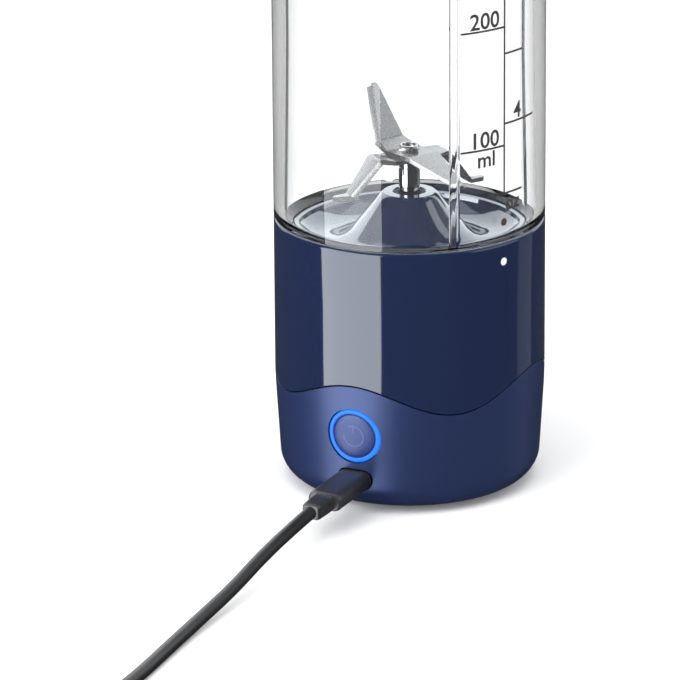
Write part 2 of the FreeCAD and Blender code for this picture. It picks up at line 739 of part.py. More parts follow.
def make_supply_plug():
    """Flat four-contact plug at the far end, lying beside the coil."""
    x, z = supply_line, supply_level
    collar_end = coil_centre[1] - 16.0
    body_end = collar_end - 9.0
    body_front = body_end - 24.0
    shell_front = body_front - 12.0
    collar = Part.makeCone(2.3, 2.9, 9.0, Vector(x, collar_end, z), Vector(0, -1, 0))
    keep("supply_collar", collar)
    body = block((x - 7.7, body_front, 0.0), (x + 7.7, body_end, 2 * z))
    body = body.makeFillet(2.0, [e for e in body.Edges if e.BoundBox.YLength > 20])
    pocket = block((x - 6.05, body_front, z - 2.3), (x + 6.05, body_front + 2.0, z + 2.3))
    keep("supply_plug", body.cut(pocket))
    tube_out = block((x - 6.0, shell_front, z - 2.25), (x + 6.0, body_front + 2.0, z + 2.25))
    tube_in = block((x - 5.6, shell_front - 1, z - 1.85), (x + 5.6, body_front + 1.0, z + 1.85))
    keep("supply_shell", tube_out.cut(tube_in))
    keep("supply_tongue", block((x - 5.5, shell_front + 0.6, z), (x + 5.5, body_front + 1.0, z + 1.8)))


os.makedirs("parts", exist_ok=True)
make_housings()
make_bottom()
make_frame()
make_cells()
make_deck()
make_motor()
make_rotor()
make_blades()
make_boards()
make_button()
make_cup()
make_lid()
make_flip_cap()
make_loop()
make_charging_plug()
make_cable()
make_supply_plug()
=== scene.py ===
import json
import math

import bpy
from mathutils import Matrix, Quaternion, Vector


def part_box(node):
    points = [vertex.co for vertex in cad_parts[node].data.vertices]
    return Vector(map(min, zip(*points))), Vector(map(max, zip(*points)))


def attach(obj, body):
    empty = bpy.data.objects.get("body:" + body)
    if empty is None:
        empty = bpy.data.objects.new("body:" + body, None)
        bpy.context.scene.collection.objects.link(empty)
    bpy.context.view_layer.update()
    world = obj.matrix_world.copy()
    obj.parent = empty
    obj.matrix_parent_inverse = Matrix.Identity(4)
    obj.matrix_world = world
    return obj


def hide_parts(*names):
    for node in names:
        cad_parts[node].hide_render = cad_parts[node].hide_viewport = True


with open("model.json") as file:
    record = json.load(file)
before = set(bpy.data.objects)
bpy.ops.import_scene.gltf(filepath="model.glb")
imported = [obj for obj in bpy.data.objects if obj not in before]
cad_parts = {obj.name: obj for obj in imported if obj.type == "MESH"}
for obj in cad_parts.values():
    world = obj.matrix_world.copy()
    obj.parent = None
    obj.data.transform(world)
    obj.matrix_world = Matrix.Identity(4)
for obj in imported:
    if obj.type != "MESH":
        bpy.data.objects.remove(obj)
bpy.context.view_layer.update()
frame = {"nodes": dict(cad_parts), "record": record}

# A cordless blender. Shapes are given in millimetres and made in metres, with the
# floor at z = 0, the cup's axis on Z and the power button towards -Y.
mm = 0.001


def reach(node):
    low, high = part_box(node)
    return [v / mm for v in low], [v / mm for v in high]


baseRadius, _, baseTop = reach("upper_housing")[1]
cupTop = reach("cup")[1][2]
cupBase = baseTop + 0.15  # the cup's shoulder sits just above the base
mouthBase = cupTop - 11.5  # where the cup's wall ends and its threaded mouth begins
buttonLevel = (reach("light_ring")[0][2] + reach("light_ring")[1][2]) / 2

# camera

shot = {
    "azimuth": 24.9,
    "elevation": 18.06,
    "distance": 1.575,
    "lens": 323.6,
    "roll": 0.4,
    "target": (0.0, 0.0, 0.0709),
    "across": -0.01799,
    "up": -0.03278,
}


def sideways(degrees, elevation=0.0):
    # a direction, turned to the right from the one that faces the camera
    a, e = math.radians(shot["azimuth"] + degrees), math.radians(elevation)
    return Vector((math.sin(a) * math.cos(e), -math.cos(a) * math.cos(e), math.sin(e)))


def makeCamera():
    target = Vector(shot["target"])
    back = sideways(0, shot["elevation"])
    across = sideways(90)
    aim = target + across * shot["across"] + back.cross(across) * shot["up"]
    bpy.ops.object.camera_add(location=target + back * shot["distance"])
    camera = bpy.context.object
    camera.name = "shotCamera"
    camera.rotation_mode = "QUATERNION"
    level = (aim - camera.location).to_track_quat("-Z", "Y")
    camera.rotation_quaternion = level @ Quaternion((0, 0, 1), -math.radians(shot["roll"]))
    camera.data.lens = shot["lens"]
    camera.data.sensor_width = 36
    camera.data.clip_start, camera.data.clip_end = 0.1, 40
    bpy.context.scene.camera = camera


makeCamera()
print("camera placed")

# modelling helpers


def clearSelection():
    if bpy.context.mode != "OBJECT":
        bpy.ops.object.mode_set(mode="OBJECT")
    bpy.ops.object.select_all(action="DESELECT")


def onlyPick(piece):
    clearSelection()
    piece.select_set(True)
    bpy.context.view_layer.objects.active = piece


def fresh(name):
    piece = bpy.context.object
    piece.name = piece.data.name = name
    return piece


def editing(on):
    bpy.ops.object.mode_set(mode="EDIT" if on else "OBJECT")


def pick(piece, kind, test):
    # picks the points, edges or faces that pass the test and leaves the piece in edit mode
    onlyPick(piece)
    editing(True)
    bpy.ops.mesh.select_mode(type=kind)
    bpy.ops.mesh.select_all(action="DESELECT")
    editing(False)
    parts = {"VERT": piece.data.vertices, "EDGE": piece.data.edges, "FACE": piece.data.polygons}
    for part in parts[kind]:
        part.select = test(part)
    editing(True)


def pickRims(piece):
    # the open edges of a shell
    pick(piece, "EDGE", lambda edge: False)
    bpy.ops.mesh.select_non_manifold()


def drawOut(x, y, z):
    bpy.ops.mesh.extrude_region_move(TRANSFORM_OT_translate={"value": (x * mm, y * mm, z * mm)})


def weld():
    bpy.ops.mesh.select_all(action="SELECT")
    bpy.ops.mesh.remove_doubles(threshold=0.002 * mm)


def closeShell():
    weld()
    bpy.ops.mesh.normals_make_consistent(inside=False)
    editing(False)


def walkPoint(outline):
    # leaves a chain of edges in the XZ plane, drawn by extruding one point
    clearSelection()
    bpy.ops.mesh.primitive_plane_add(size=mm)
    editing(True)
    bpy.ops.mesh.select_mode(type="VERT")
    bpy.ops.mesh.select_all(action="SELECT")
    bpy.ops.mesh.merge(type="CENTER")
    bpy.ops.transform.translate(value=(outline[0][0] * mm, 0, outline[0][1] * mm))
    for before, after in zip(outline, outline[1:]):
        drawOut(after[0] - before[0], 0, after[1] - before[1])


def spun(name, outline, steps=160, closed=True):
    # outline is (radius, height) all the way round a section
    walkPoint(outline + outline[:1] if closed else outline)
    bpy.ops.mesh.select_all(action="SELECT")
    bpy.ops.mesh.spin(steps=steps, angle=2 * math.pi, center=(0, 0, 0), axis=(0, 0, 1))
    closeShell()
    return fresh(name)


def modified(piece, kind, **settings):
    onlyPick(piece)
    modifier = piece.modifiers.new("step", kind)
    for key, value in settings.items():
        setattr(modifier, key, value)
    bpy.ops.object.modifier_apply(modifier="step")


def eased(piece, width, segments=3, limit=30.0):
    modified(piece, "BEVEL", width=width * mm, segments=segments, limit_method="ANGLE",
             angle_limit=math.radians(limit))
    return piece


def smoothed(piece, angle=32.0):
    onlyPick(piece)
    bpy.ops.object.shade_smooth_by_angle(angle=math.radians(angle))
    return piece


def placed(piece, move=(0, 0, 0), turn=(0, 0, 0), size=(1, 1, 1)):
    onlyPick(piece)
    piece.location = [v * mm for v in move]
    piece.rotation_euler = [math.radians(v) for v in turn]
    piece.scale = size
    bpy.ops.object.transform_apply(location=True, rotation=True, scale=True)
    return piece


def cutBy(piece, tool, operation="DIFFERENCE"):
    modified(piece, "BOOLEAN", object=tool, operation=operation, solver="EXACT")
    bpy.data.objects.remove(tool)
    return piece


def joined(name, pieces):
    clearSelection()
    for piece in pieces:
        piece.select_set(True)
    bpy.context.view_layer.objects.active = pieces[0]
    bpy.ops.object.join()
    return fresh(name)


def bar(name, low, high):
    # a box between two corners, to be shaped further
    clearSelection()
    middle = [(a + b) / 2 * mm for a, b in zip(low, high)]
    bpy.ops.mesh.primitive_cube_add(size=1, location=middle)
    bpy.context.object.scale = [(b - a) * mm for a, b in zip(low, high)]
    bpy.ops.object.transform_apply(location=True, rotation=True, scale=True)
    return fresh(name)


def pin(name, radius, length, centre, axis="Y", vertices=64):
    clearSelection()
    turn = {"X": (0, math.pi / 2, 0), "Y": (math.pi / 2, 0, 0), "Z": (0, 0, 0)}[axis]
    bpy.ops.mesh.primitive_cylinder_add(
        vertices=vertices, radius=radius * mm, depth=length * mm,
        location=[v * mm for v in centre], rotation=turn)
    bpy.ops.object.transform_apply(location=True, rotation=True, scale=True)
    return fresh(name)


def oblong(name, size, corner, centre, stations):
    # a rounded rectangle drawn out along Y through stations of (y, scale)
    clearSelection()
    x, z = centre
    bpy.ops.mesh.primitive_plane_add(size=1)
    editing(True)
    bpy.ops.transform.resize(value=(size[0] * mm, size[1] * mm, 1))
    bpy.ops.mesh.bevel(offset=corner * mm, segments=8, affect="VERTICES")
    editing(False)
    piece = placed(fresh(name), (x, stations[0][0], z), (90, 0, 0))
    pick(piece, "FACE", lambda face: True)
    before = 1.0
    for i, (y, scale) in enumerate(stations):
        if i:
            drawOut(0, y - stations[i - 1][0], 0)
        ratio = scale / before
        bpy.ops.transform.resize(value=(ratio, 1, ratio), center_override=(x * mm, y * mm, z * mm))
        before = scale
    closeShell()
    return piece


def dress(piece, body, slot, *replaced, material=None):
    # gives a finished piece its finish, its body and the CAD nodes that it stands for
    piece.data.materials.clear()
    piece.data.materials.append(material or finish[slot])
    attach(piece, body)
    if replaced:
        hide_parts(*replaced)
    return piece


# shader groups, each used by several materials


def feed(tree, node, sockets):
    # each socket takes a number, a colour or what another node puts out
    for label, value in sockets.items():
        socket = node.inputs[label]
        if isinstance(value, bpy.types.NodeSocket):
            tree.links.new(value, socket)
        elif socket.type == "RGBA":
            socket.default_value = (*value[:3], 1)
        else:
            socket.default_value = value


def addNode(tree, kind, sockets=None, **settings):
    node = tree.nodes.new("ShaderNode" + kind)
    for name, value in settings.items():
        setattr(node, name, value)
    feed(tree, node, sockets or {})
    return node


def noiseNode(tree, place, scale, detail=3.0, rough=0.5):
    sockets = {"Vector": place, "Scale": scale, "Detail": detail, "Roughness": rough}
    return addNode(tree, "TexNoise", sockets).outputs["Fac"]


def mathNode(tree, operation, first, second, clamp=False):
    return addNode(tree, "Math", {0: first, 1: second}, operation=operation, use_clamp=clamp).outputs[0]


def mixColour(tree, factor, first, second, blend="MIX"):
    sockets = {0: factor, 6: first, 7: second}
    return addNode(tree, "Mix", sockets, data_type="RGBA", blend_type=blend).outputs[2]


def ramp(tree, value, low, high):
    # 0 up to the low value and 1 from the high one
    sockets = {"Value": value, "From Min": low, "From Max": high}
    return addNode(tree, "MapRange", sockets, clamp=True).outputs[0]


def split(tree, vector):
    return addNode(tree, "SeparateXYZ", {0: vector}).outputs


def lengthOf(tree, first, second):
    flat = addNode(tree, "CombineXYZ", {0: first, 1: second}).outputs[0]
    return addNode(tree, "VectorMath", {0: flat}, operation="LENGTH").outputs["Value"]


def swung(tree, value, middle, amount):
    # how far a value is from its middle, times an amount
    return mathNode(tree, "MULTIPLY", mathNode(tree, "SUBTRACT", value, middle), amount)


def newGroup(name, inputs, outputs):
    group = bpy.data.node_groups.new(name, "ShaderNodeTree")
    rows = [(*row, "INPUT") for row in inputs] + [(*row, None, "OUTPUT") for row in outputs]
    for label, kind, value, way in rows:
        socket = group.interface.new_socket(name=label, in_out=way, socket_type="NodeSocket" + kind)
        if value is not None:
            socket.default_value = value
    return group, group.nodes.new("NodeGroupInput").outputs, group.nodes.new("NodeGroupOutput")


def makeGrainGroup():
    # fine moulded or bead-blasted grain over a slow unevenness
    group, given, result = newGroup(
        "surfaceGrain",
        [("Position", "Vector", None), ("Grain Scale", "Float", 2400.0), ("Roughness", "Float", 0.4),
         ("Spread", "Float", 0.06), ("Unevenness", "Float", 0.3)],
        [("Roughness", "Float"), ("Height", "Float")])
    fine = noiseNode(group, given["Position"], given["Grain Scale"], 2.0)
    slow = noiseNode(group, given["Position"], 38.0)
    swing = mathNode(group, "MULTIPLY", swung(group, slow, 0.5, given["Spread"]), 2.0)
    rough = mathNode(group, "ADD", given["Roughness"], swing, clamp=True)
    swell = mathNode(group, "MULTIPLY", slow, given["Unevenness"])
    feed(group, result, {"Roughness": rough, "Height": mathNode(group, "ADD", fine, swell)})
    return group


def makeWearGroup():
    # convex edges go lighter, in broken patches: a painted edge highlight mixed with wear
    group, given, result = newGroup(
        "edgeWearAndHighlight",
        [("Position", "Vector", None), ("Base Color", "Color", (0.5, 0.5, 0.5, 1)),
         ("Worn Color", "Color", (0.7, 0.7, 0.7, 1)), ("Amount", "Float", 0.4),
         ("Mottle", "Float", 0.12)],
        [("Color", "Color")])
    edge = ramp(group, addNode(group, "NewGeometry").outputs["Pointiness"], 0.53, 0.62)
    patchy = mathNode(group, "MULTIPLY", edge, noiseNode(group, given["Position"], 420.0, 4.0))
    mask = mathNode(group, "MULTIPLY", patchy, given["Amount"], clamp=True)
    slow = noiseNode(group, given["Position"], 24.0, 4.0)
    shade = mathNode(group, "ADD", swung(group, slow, 0.5, given["Mottle"]), 1.0)
    tinted = addNode(group, "VectorMath", {0: given["Base Color"]}, operation="SCALE")
    feed(group, tinted, {"Scale": shade})
    colour = mixColour(group, mask, tinted.outputs[0], given["Worn Color"])
    feed(group, result, {"Color": colour})
    return group


def makeBrushGroup():
    # fine scratches drawn out along one direction
    group, given, result = newGroup(
        "brushedLines",
        [("Position", "Vector", None), ("Along", "Float", 60.0), ("Across", "Float", 2600.0),
         ("Roughness", "Float", 0.28), ("Spread", "Float", 0.14)],
        [("Roughness", "Float"), ("Height", "Float"), ("Shade", "Float")])
    stretch = addNode(group, "CombineXYZ", {0: given["Along"], 1: given["Across"], 2: given["Across"]})
    drawn = addNode(group, "VectorMath", {0: given["Position"], 1: stretch.outputs[0]}, operation="MULTIPLY")
    lines = noiseNode(group, drawn.outputs[0], 1.0, 3.0, 0.6)
    cloudy = noiseNode(group, given["Position"], 130.0)
    both = mathNode(group, "ADD", lines, mathNode(group, "MULTIPLY", cloudy, 0.6))
    swing = mathNode(group, "MULTIPLY", swung(group, both, 0.8, given["Spread"]), 2.0)
    rough = mathNode(group, "ADD", given["Roughness"], swing, clamp=True)
    feed(group, result, {"Roughness": rough, "Height": lines, "Shade": cloudy})
    return group


def makeDustGroup():
    # a thin pale film that settles on surfaces which face upwards
    group, given, result = newGroup(
        "settledFilm",
        [("Position", "Vector", None), ("Color", "Color", (0.5, 0.5, 0.5, 1)), ("Amount", "Float", 0.1)],
        [("Color", "Color")])
    upward = ramp(group, split(group, addNode(group, "NewGeometry").outputs["Normal"])[2], 0.4, 1.0)
    film = mathNode(group, "MULTIPLY", upward, noiseNode(group, given["Position"], 700.0, 5.0, 0.7))
    share = mathNode(group, "MULTIPLY", film, given["Amount"], clamp=True)
    feed(group, result, {"Color": mixColour(group, share, given["Color"], (0.62, 0.62, 0.6))})
    return group


grainGroup = makeGrainGroup()
wearAndHighlightGroup = makeWearGroup()
brushGroup = makeBrushGroup()
dustGroup = makeDustGroup()
print("shader groups built")

# materials


def newMaterial(name, turn=0.0):
    # a material with its Principled shader and the piece's own coordinates
    material = bpy.data.materials.new(name)
    material.use_nodes = True
    tree = material.node_tree
    place = addNode(tree, "TexCoord").outputs["Object"]
    if turn:
        sockets = {"Vector": place, "Rotation": (0, 0, math.radians(-turn))}
        place = addNode(tree, "Mapping", sockets).outputs[0]
    return material, tree, tree.nodes["Principled BSDF"], place


def useGroup(tree, group, place, sockets):
    return addNode(tree, "Group", {"Position": place, **sockets}, node_tree=group).outputs


def grainOf(tree, place, scale, roughness, spread, swell=0.3):
    return useGroup(tree, grainGroup, place, {"Grain Scale": scale, "Roughness": roughness, "Spread": spread,
                                              "Unevenness": swell})


def bumpOf(tree, height, depth):
    return addNode(tree, "Bump", {"Strength": 1.0, "Distance": depth * mm, "Height": height}).outputs[0]


def plastic(name, colour, wornHighlight, roughness, spread=0.05, grain=2400.0, depth=0.006, swell=0.3,
            wearAndHighlight=0.4, mottle=0.1, dust=0.0, coat=0.0, pearl=0.0, coatIor=1.5):
    material, tree, shader, place = newMaterial(name)
    surface = grainOf(tree, place, grain, roughness, spread, swell)
    # the lighter colour on convex edges is a painted edge highlight mixed with wear
    tint = useGroup(tree, wearAndHighlightGroup, place, {"Base Color": colour, "Worn Color": wornHighlight, "Amount": wearAndHighlight,
                                             "Mottle": mottle})["Color"]
    if dust:
        tint = useGroup(tree, dustGroup, place, {"Color": tint, "Amount": dust})["Color"]
    feed(tree, shader, {"Base Color": tint, "Roughness": surface["Roughness"], "Metallic": pearl,
                        "Normal": bumpOf(tree, surface["Height"], depth)})
    if coat:
        feed(tree, shader, {"Coat Weight": coat, "Coat Roughness": 0.03, "Coat IOR": coatIor})
    return material


def metal(name, colour, roughness=0.28, spread=0.1, along=60.0, across=2600.0, depth=0.002, turn=0.0,
          shade=0.25, metallic=1.0):
    material, tree, shader, place = newMaterial(name, turn)
    lines = useGroup(tree, brushGroup, place, {"Along": along, "Across": across, "Roughness": roughness,
                                               "Spread": spread})
    tint = mixColour(tree, lines["Shade"], [c * (1 - shade) for c in colour], colour)
    feed(tree, shader, {"Base Color": tint, "Roughness": lines["Roughness"], "Metallic": metallic,
                        "Normal": bumpOf(tree, lines["Height"], depth)})
    return material


clear = {
    "edgeFrom": 0.35,
    "edgeTo": 0.72,
    # edgeShade and ribShade are painted shade: grey mixed into the clear wall's colour
    "edgeShade": (0.982, 0.985, 0.988),
    "ribRadius": 31.8,
    "ribSpan": (76.0, 211.0),
    "ribShade": (0.80, 0.815, 0.83),
    "passing": (0.95, 0.96, 0.97),
    "index": 1.46,
}


def clearTint(tree, place, colour):
    # painted shade: the base colour goes greyer where a thick wall is seen edge on, and the moulded ribs are
    # painted greyer all over, in place of the darkening that refraction gives
    facing = addNode(tree, "LayerWeight", {"Blend": 0.5}).outputs["Facing"]
    edge = ramp(tree, facing, clear["edgeFrom"], clear["edgeTo"])
    shadedWalls = mixColour(tree, edge, colour, clear["edgeShade"])
    x, y, z = split(tree, place)
    inward = mathNode(tree, "LESS_THAN", lengthOf(tree, x, y), clear["ribRadius"] * mm)
    low, high = clear["ribSpan"]
    above = mathNode(tree, "GREATER_THAN", z, low * mm)
    below = mathNode(tree, "LESS_THAN", z, high * mm)
    onRib = mathNode(tree, "MULTIPLY", inward, mathNode(tree, "MULTIPLY", above, below))
    return mixColour(tree, onRib, shadedWalls, clear["ribShade"], "MULTIPLY")


def clearPlastic(name, colour, roughness, depth):
    # clear walls let lamps through, so that they cast only a faint shadow, and what lies
    # behind them mirrors the studio as if they weren't there
    material, tree, shader, place = newMaterial(name)
    surface = grainOf(tree, place, 26.0, roughness, 0.01, 1.0)
    # the base colour carries the painted shade on edges and ribs
    feed(tree, shader, {"Base Color": clearTint(tree, place, colour), "Roughness": surface["Roughness"],
                        "Transmission Weight": 1.0, "IOR": clear["index"],
                        "Normal": bumpOf(tree, surface["Height"], depth)})
    seeThrough = addNode(tree, "BsdfTransparent", {"Color": clear["passing"]})
    path = addNode(tree, "LightPath").outputs
    outside = mathNode(tree, "SUBTRACT", 1.0, addNode(tree, "NewGeometry").outputs["Backfacing"])
    passed = mathNode(tree, "GREATER_THAN", path["Transparent Depth"], 0.5)
    reflected = mathNode(tree, "SUBTRACT", path["Is Glossy Ray"], path["Is Transmission Ray"], clamp=True)
    mirrored = mathNode(tree, "MULTIPLY", reflected, mathNode(tree, "MAXIMUM", outside, passed))
    share = mathNode(tree, "MAXIMUM", path["Is Shadow Ray"], mirrored)
    mix = addNode(tree, "MixShader", {0: share, 1: shader.outputs[0], 2: seeThrough.outputs[0]})
    feed(tree, tree.nodes["Material Output"], {"Surface": mix.outputs[0]})
    return material


def silicone(name, colour, milky):
    material, tree, shader, place = newMaterial(name)
    surface = grainOf(tree, place, 1900.0, 0.34, 0.06)
    tint = mixColour(tree, noiseNode(tree, place, 60.0, 4.0), colour, [c * 0.92 for c in colour])
    feed(tree, shader, {"Base Color": tint, "Roughness": surface["Roughness"], "IOR": 1.41,
                        "Transmission Weight": 1 - milky, "Normal": bumpOf(tree, surface["Height"], 0.004)})
    return material


def litLens(name, colour, bright, dim, strength, lamps, rim):
    # lit from behind by small lamps: brighter at each lamp, dimmer at the ring's inner edge
    material, tree, shader, place = newMaterial(name)
    x, y, height = split(tree, place)
    z = mathNode(tree, "SUBTRACT", height, buttonLevel * mm)
    angle = mathNode(tree, "MULTIPLY", mathNode(tree, "ARCTAN2", z, x), lamps)
    uneven = mathNode(tree, "MULTIPLY", mathNode(tree, "SINE", angle, 0.0), 0.05)
    edge = ramp(tree, lengthOf(tree, x, z), rim[0] * mm, rim[1] * mm)
    glow = mixColour(tree, mathNode(tree, "ADD", edge, uneven, clamp=True), dim, bright)
    feed(tree, shader, {"Base Color": colour, "Emission Color": glow, "Emission Strength": strength,
                        "Specular IOR Level": 0.2,
                        "Roughness": grainOf(tree, place, 1500.0, 0.3, 0.05)["Roughness"]})
    return material


def cellSleeve(name, bandLow=50.0, bandHigh=50.5):
    # a shrunk sleeve in one colour with a pale band near the positive end
    material, tree, shader, place = newMaterial(name)
    band = ramp(tree, split(tree, place)[2], bandLow * mm, bandHigh * mm)
    sleeve = mixColour(tree, noiseNode(tree, place, 220.0), (0.05, 0.17, 0.42), (0.08, 0.24, 0.52))
    surface = grainOf(tree, place, 900.0, 0.3, 0.08)
    feed(tree, shader, {"Base Color": mixColour(tree, band, sleeve, (0.62, 0.63, 0.64)),
                        "Roughness": surface["Roughness"], "Normal": bumpOf(tree, surface["Height"], 0.01)})
    return material


def circuitBoard(name):
    # solder mask with the tracks' ridges under it and bare tinned pads
    material, tree, shader, place = newMaterial(name)
    tracks = addNode(tree, "TexBrick", {"Vector": place, "Scale": 300.0, "Mortar Size": 0.03}).outputs["Fac"]
    pads = addNode(tree, "TexVoronoi", {"Vector": place, "Scale": 420.0}).outputs["Distance"]
    bare = mathNode(tree, "LESS_THAN", pads, 0.16)
    mask = mixColour(tree, tracks, (0.012, 0.11, 0.045), (0.02, 0.2, 0.08))
    feed(tree, shader, {"Base Color": mixColour(tree, bare, mask, (0.7, 0.68, 0.62)), "Metallic": bare,
                        "Roughness": 0.32, "Normal": bumpOf(tree, tracks, 0.03)})
    return material


def woundCopper(name):
    material, tree, shader, place = newMaterial(name)
    sockets = {"Vector": place, "Scale": 900.0, "Distortion": 0.6}
    wires = addNode(tree, "TexWave", sockets, bands_direction="Z").outputs["Fac"]
    feed(tree, shader, {"Base Color": mixColour(tree, wires, (0.28, 0.09, 0.03), (0.72, 0.32, 0.14)),
                        "Metallic": 0.85, "Roughness": 0.35, "Normal": bumpOf(tree, wires, 0.08)})
    return material


def printedInk(name, colour):
    material, tree, shader, place = newMaterial(name)
    specks = noiseNode(tree, place, 5200.0, 4.0, 0.7)
    tint = mixColour(tree, specks, [c * 0.8 for c in colour], [min(1, c * 1.25) for c in colour])
    feed(tree, shader, {"Base Color": tint, "Roughness": 0.5, "Normal": bumpOf(tree, specks, 0.004)})
    return material


navy = (0.0100, 0.0175, 0.0520)
# the lighter navy paints the edge highlight together with worn edges
navyWornHighlight = (0.03, 0.05, 0.12)
finish = {
    "gloss_shell": plastic("glossNavyShell", navy, navyWornHighlight, 0.06, 0.012, 180.0, 0.0006, 2.0, 0.25, 0.06,
                           coat=0.3),
    "satin_shell": plastic("satinNavyShell", (0.0195, 0.0360, 0.1200), (0.03, 0.05, 0.14), 0.36, 0.05,
                           3200.0, 0.004, 0.3, 0.3, 0.06, pearl=0.4),
    "lid_shell": plastic("glossNavyLid", navy, navyWornHighlight, 0.08, 0.02, 180.0, 0.0008, 2.0, 0.3, 0.06, 0.02,
                         coat=0.3),
    "loop_plastic": plastic("softNavyLoop", (0.012, 0.021, 0.068), (0.04, 0.06, 0.16), 0.45, 0.06, 2600.0,
                            wearAndHighlight=0.5),
    "button_satin": plastic("satinNavyButton", (0.017, 0.038, 0.165), (0.04, 0.07, 0.22), 0.42, 0.04,
                            3400.0, 0.003, 0.3, 0.3, 0.05),
    "light_lens": litLens("litBlueLens", (0.01, 0.06, 0.25), (0.018, 0.21, 0.86), (0.004, 0.035, 0.34),
                          0.95, 6.0, (5.95, 6.5)),
    "clear_cup": clearPlastic("clearCup", (0.985, 0.992, 0.995), 0.012, 0.0012),
    "clear_silicone": silicone("milkySilicone", (0.86, 0.88, 0.9), 0.55),
    "seal_rubber": plastic("blackSealRubber", (0.012, 0.012, 0.013), (0.04, 0.04, 0.04), 0.55, 0.08, 1500.0,
                           0.02),
    "foot_rubber": plastic("mattFootRubber", (0.016, 0.016, 0.018), (0.07, 0.07, 0.07), 0.7, 0.08, 1300.0,
                           0.03, 0.4, 0.9, 0.2, 0.1),
    "black_plastic": plastic("mouldedBlack", (0.014, 0.014, 0.016), (0.06, 0.06, 0.065), 0.5, 0.08, 1700.0,
                             0.015, 0.4, 0.6, 0.15),
    "zinc_screw": metal("brightZinc", (0.62, 0.62, 0.64), 0.26, 0.12, 900.0, 900.0, 0.003),
    "cell_can": cellSleeve("cellSleeve"),
    "nickel_strip": metal("nickelStrip", (0.66, 0.62, 0.55), 0.3, 0.12, 80.0, 1800.0, 0.003),
    "bronze": metal("porousBronze", (0.45, 0.27, 0.11), 0.42, 0.2, 1400.0, 1400.0, 0.01),
    "motor_steel": metal("platedSteel", (0.5, 0.5, 0.52), 0.3, 0.12, 500.0, 1500.0, 0.003),
    "magnet": metal("darkFerrite", (0.1, 0.1, 0.105), 0.6, 0.1, 900.0, 900.0, 0.02),
    "circuit_board": circuitBoard("greenBoard"),
    "copper": woundCopper("woundCopper"),
    "lamp": plastic("smallLamps", (0.6, 0.66, 0.5), (0.8, 0.8, 0.8), 0.25, 0.05, 1800.0, 0.01),
    "spindle_chrome": metal("polishedSpindle", (0.72, 0.72, 0.74), 0.08, 0.04, 900.0, 2600.0, 0.0008),
    "blade_steel": metal("brushedBlade", (0.48, 0.47, 0.45), 0.2, 0.06, 70.0, 2600.0, 0.001, 0.0, 0.12, 0.9),
    "plug_steel": metal("brightPlugSteel", (0.66, 0.66, 0.68), 0.22, 0.1, 120.0, 1800.0, 0.002),
    "cable_plastic": plastic("mouldedPlugBlack", (0.014, 0.014, 0.016), (0.2, 0.2, 0.21), 0.28, 0.06, 1500.0,
                             0.008, 0.4, 1.0, 0.12, 0.03),
    "cable_jacket": plastic("smoothCableJacket", (0.0085, 0.008, 0.009), (0.04, 0.04, 0.04), 0.36, 0.06,
                            900.0, 0.01, 0.6, 0.2, 0.1, 0.03),
}
deckGloss = plastic("glossNavyDeck", (0.009, 0.0165, 0.055), navyWornHighlight, 0.1, 0.015, 180.0, 0.0006, 2.0, 0.2,
                    0.06, coat=1.0, coatIor=2.0)
goldContact = metal("goldContact", (0.78, 0.58, 0.26), 0.2, 0.08, 100.0, 1500.0, 0.001)
inks = {
    "scale": printedInk("greyScaleInk", (0.045, 0.035, 0.038)),
    "cupDot": printedInk("darkLockDot", (0.09, 0.03, 0.03)),
    "baseDot": printedInk("whiteLockDot", (0.8, 0.81, 0.82)),
    "button": printedInk("paleButtonMark", (0.085, 0.11, 0.3)),
}
for part in frame["record"]["subparts"]:
    nodeObject = frame["nodes"][part["node"]]
    nodeObject.data.materials.clear()
    nodeObject.data.materials.append(finish[part["material_slot"]])
print("materials built:", len(finish) + len(inks) + 2)

# the charging cable: its loose run, then the put-away coil

cord = {
    "diameter": 0.0034,
    "route": [
        (0.0, -0.0600, 0.0090), (-0.0001, -0.0710, 0.0083), (-0.0005, -0.0870, 0.0064),
        (-0.0002, -0.1040, 0.0040), (-0.0006, -0.1210, 0.0023), (0.0002, -0.1390, 0.00175),
        (0.0017, -0.1580, 0.00172), (0.0020, -0.1760, 0.00174), (0.0036, -0.1940, 0.00172),
        (0.0032, -0.2120, 0.00174),
    ],
    "coilCentre": (-0.0175, -0.2180),
    "turnRadius": (0.0209, 0.0175, 0.0194),
    "turnHeight": (0.0017, 0.0017, 0.0048),
    "pointsPerTurn": 16,
    "blend": 5,
    "wander": 0.00015,
    "tail": [(0.0021, -0.2235, 0.0051), (0.0020, -0.2290, 0.0046), (0.0020, -0.2340, 0.0039)],
}


def coilTurns():
    # clockwise from above: a wide turn, one inside it and one in the groove on top of both
    points = []
    count = cord["pointsPerTurn"]
    cx, cy = cord["coilCentre"]
    for i in range(1, 3 * count):
        turn, step = divmod(i, count)
        ease = min(1.0, step / cord["blend"]) if turn else 1.0
        ease = ease * ease * (3 - 2 * ease)
        before = max(turn - 1, 0)
        r, z = [row[before] * (1 - ease) + row[turn] * ease for row in (cord["turnRadius"], cord["turnHeight"])]
        r += cord["wander"] * math.sin(2.3 * i)
        angle = -2 * math.pi * i / count
        points.append((cx + r * math.cos(angle), cy + r * math.sin(angle), z))
    return points


def makeCord():
    points = cord["route"] + coilTurns() + cord["tail"]
    line = bpy.data.curves.new("chargingCord", "CURVE")
    line.dimensions = "3D"
    spline = line.splines.new("NURBS")
    spline.points.add(len(points) - 1)
    for point, place in zip(spline.points, points):
        point.co = (*place, 1)
    spline.order_u = 3
    spline.use_endpoint_u = True
    spline.resolution_u = 8
    line.bevel_depth = cord["diameter"] / 2
    line.bevel_resolution = 6
    line.use_fill_caps = True
    piece = bpy.data.objects.new("chargingCord", line)
    bpy.context.scene.collection.objects.link(piece)
    return dress(piece, "charge_cable", "cable_jacket", "charging_cable", "cable_coil", "cable_tail")


tie = {"angle": 150.0, "middle": 19.2, "half": 3.9, "height": 7.2, "width": 2.6, "thick": 0.45}


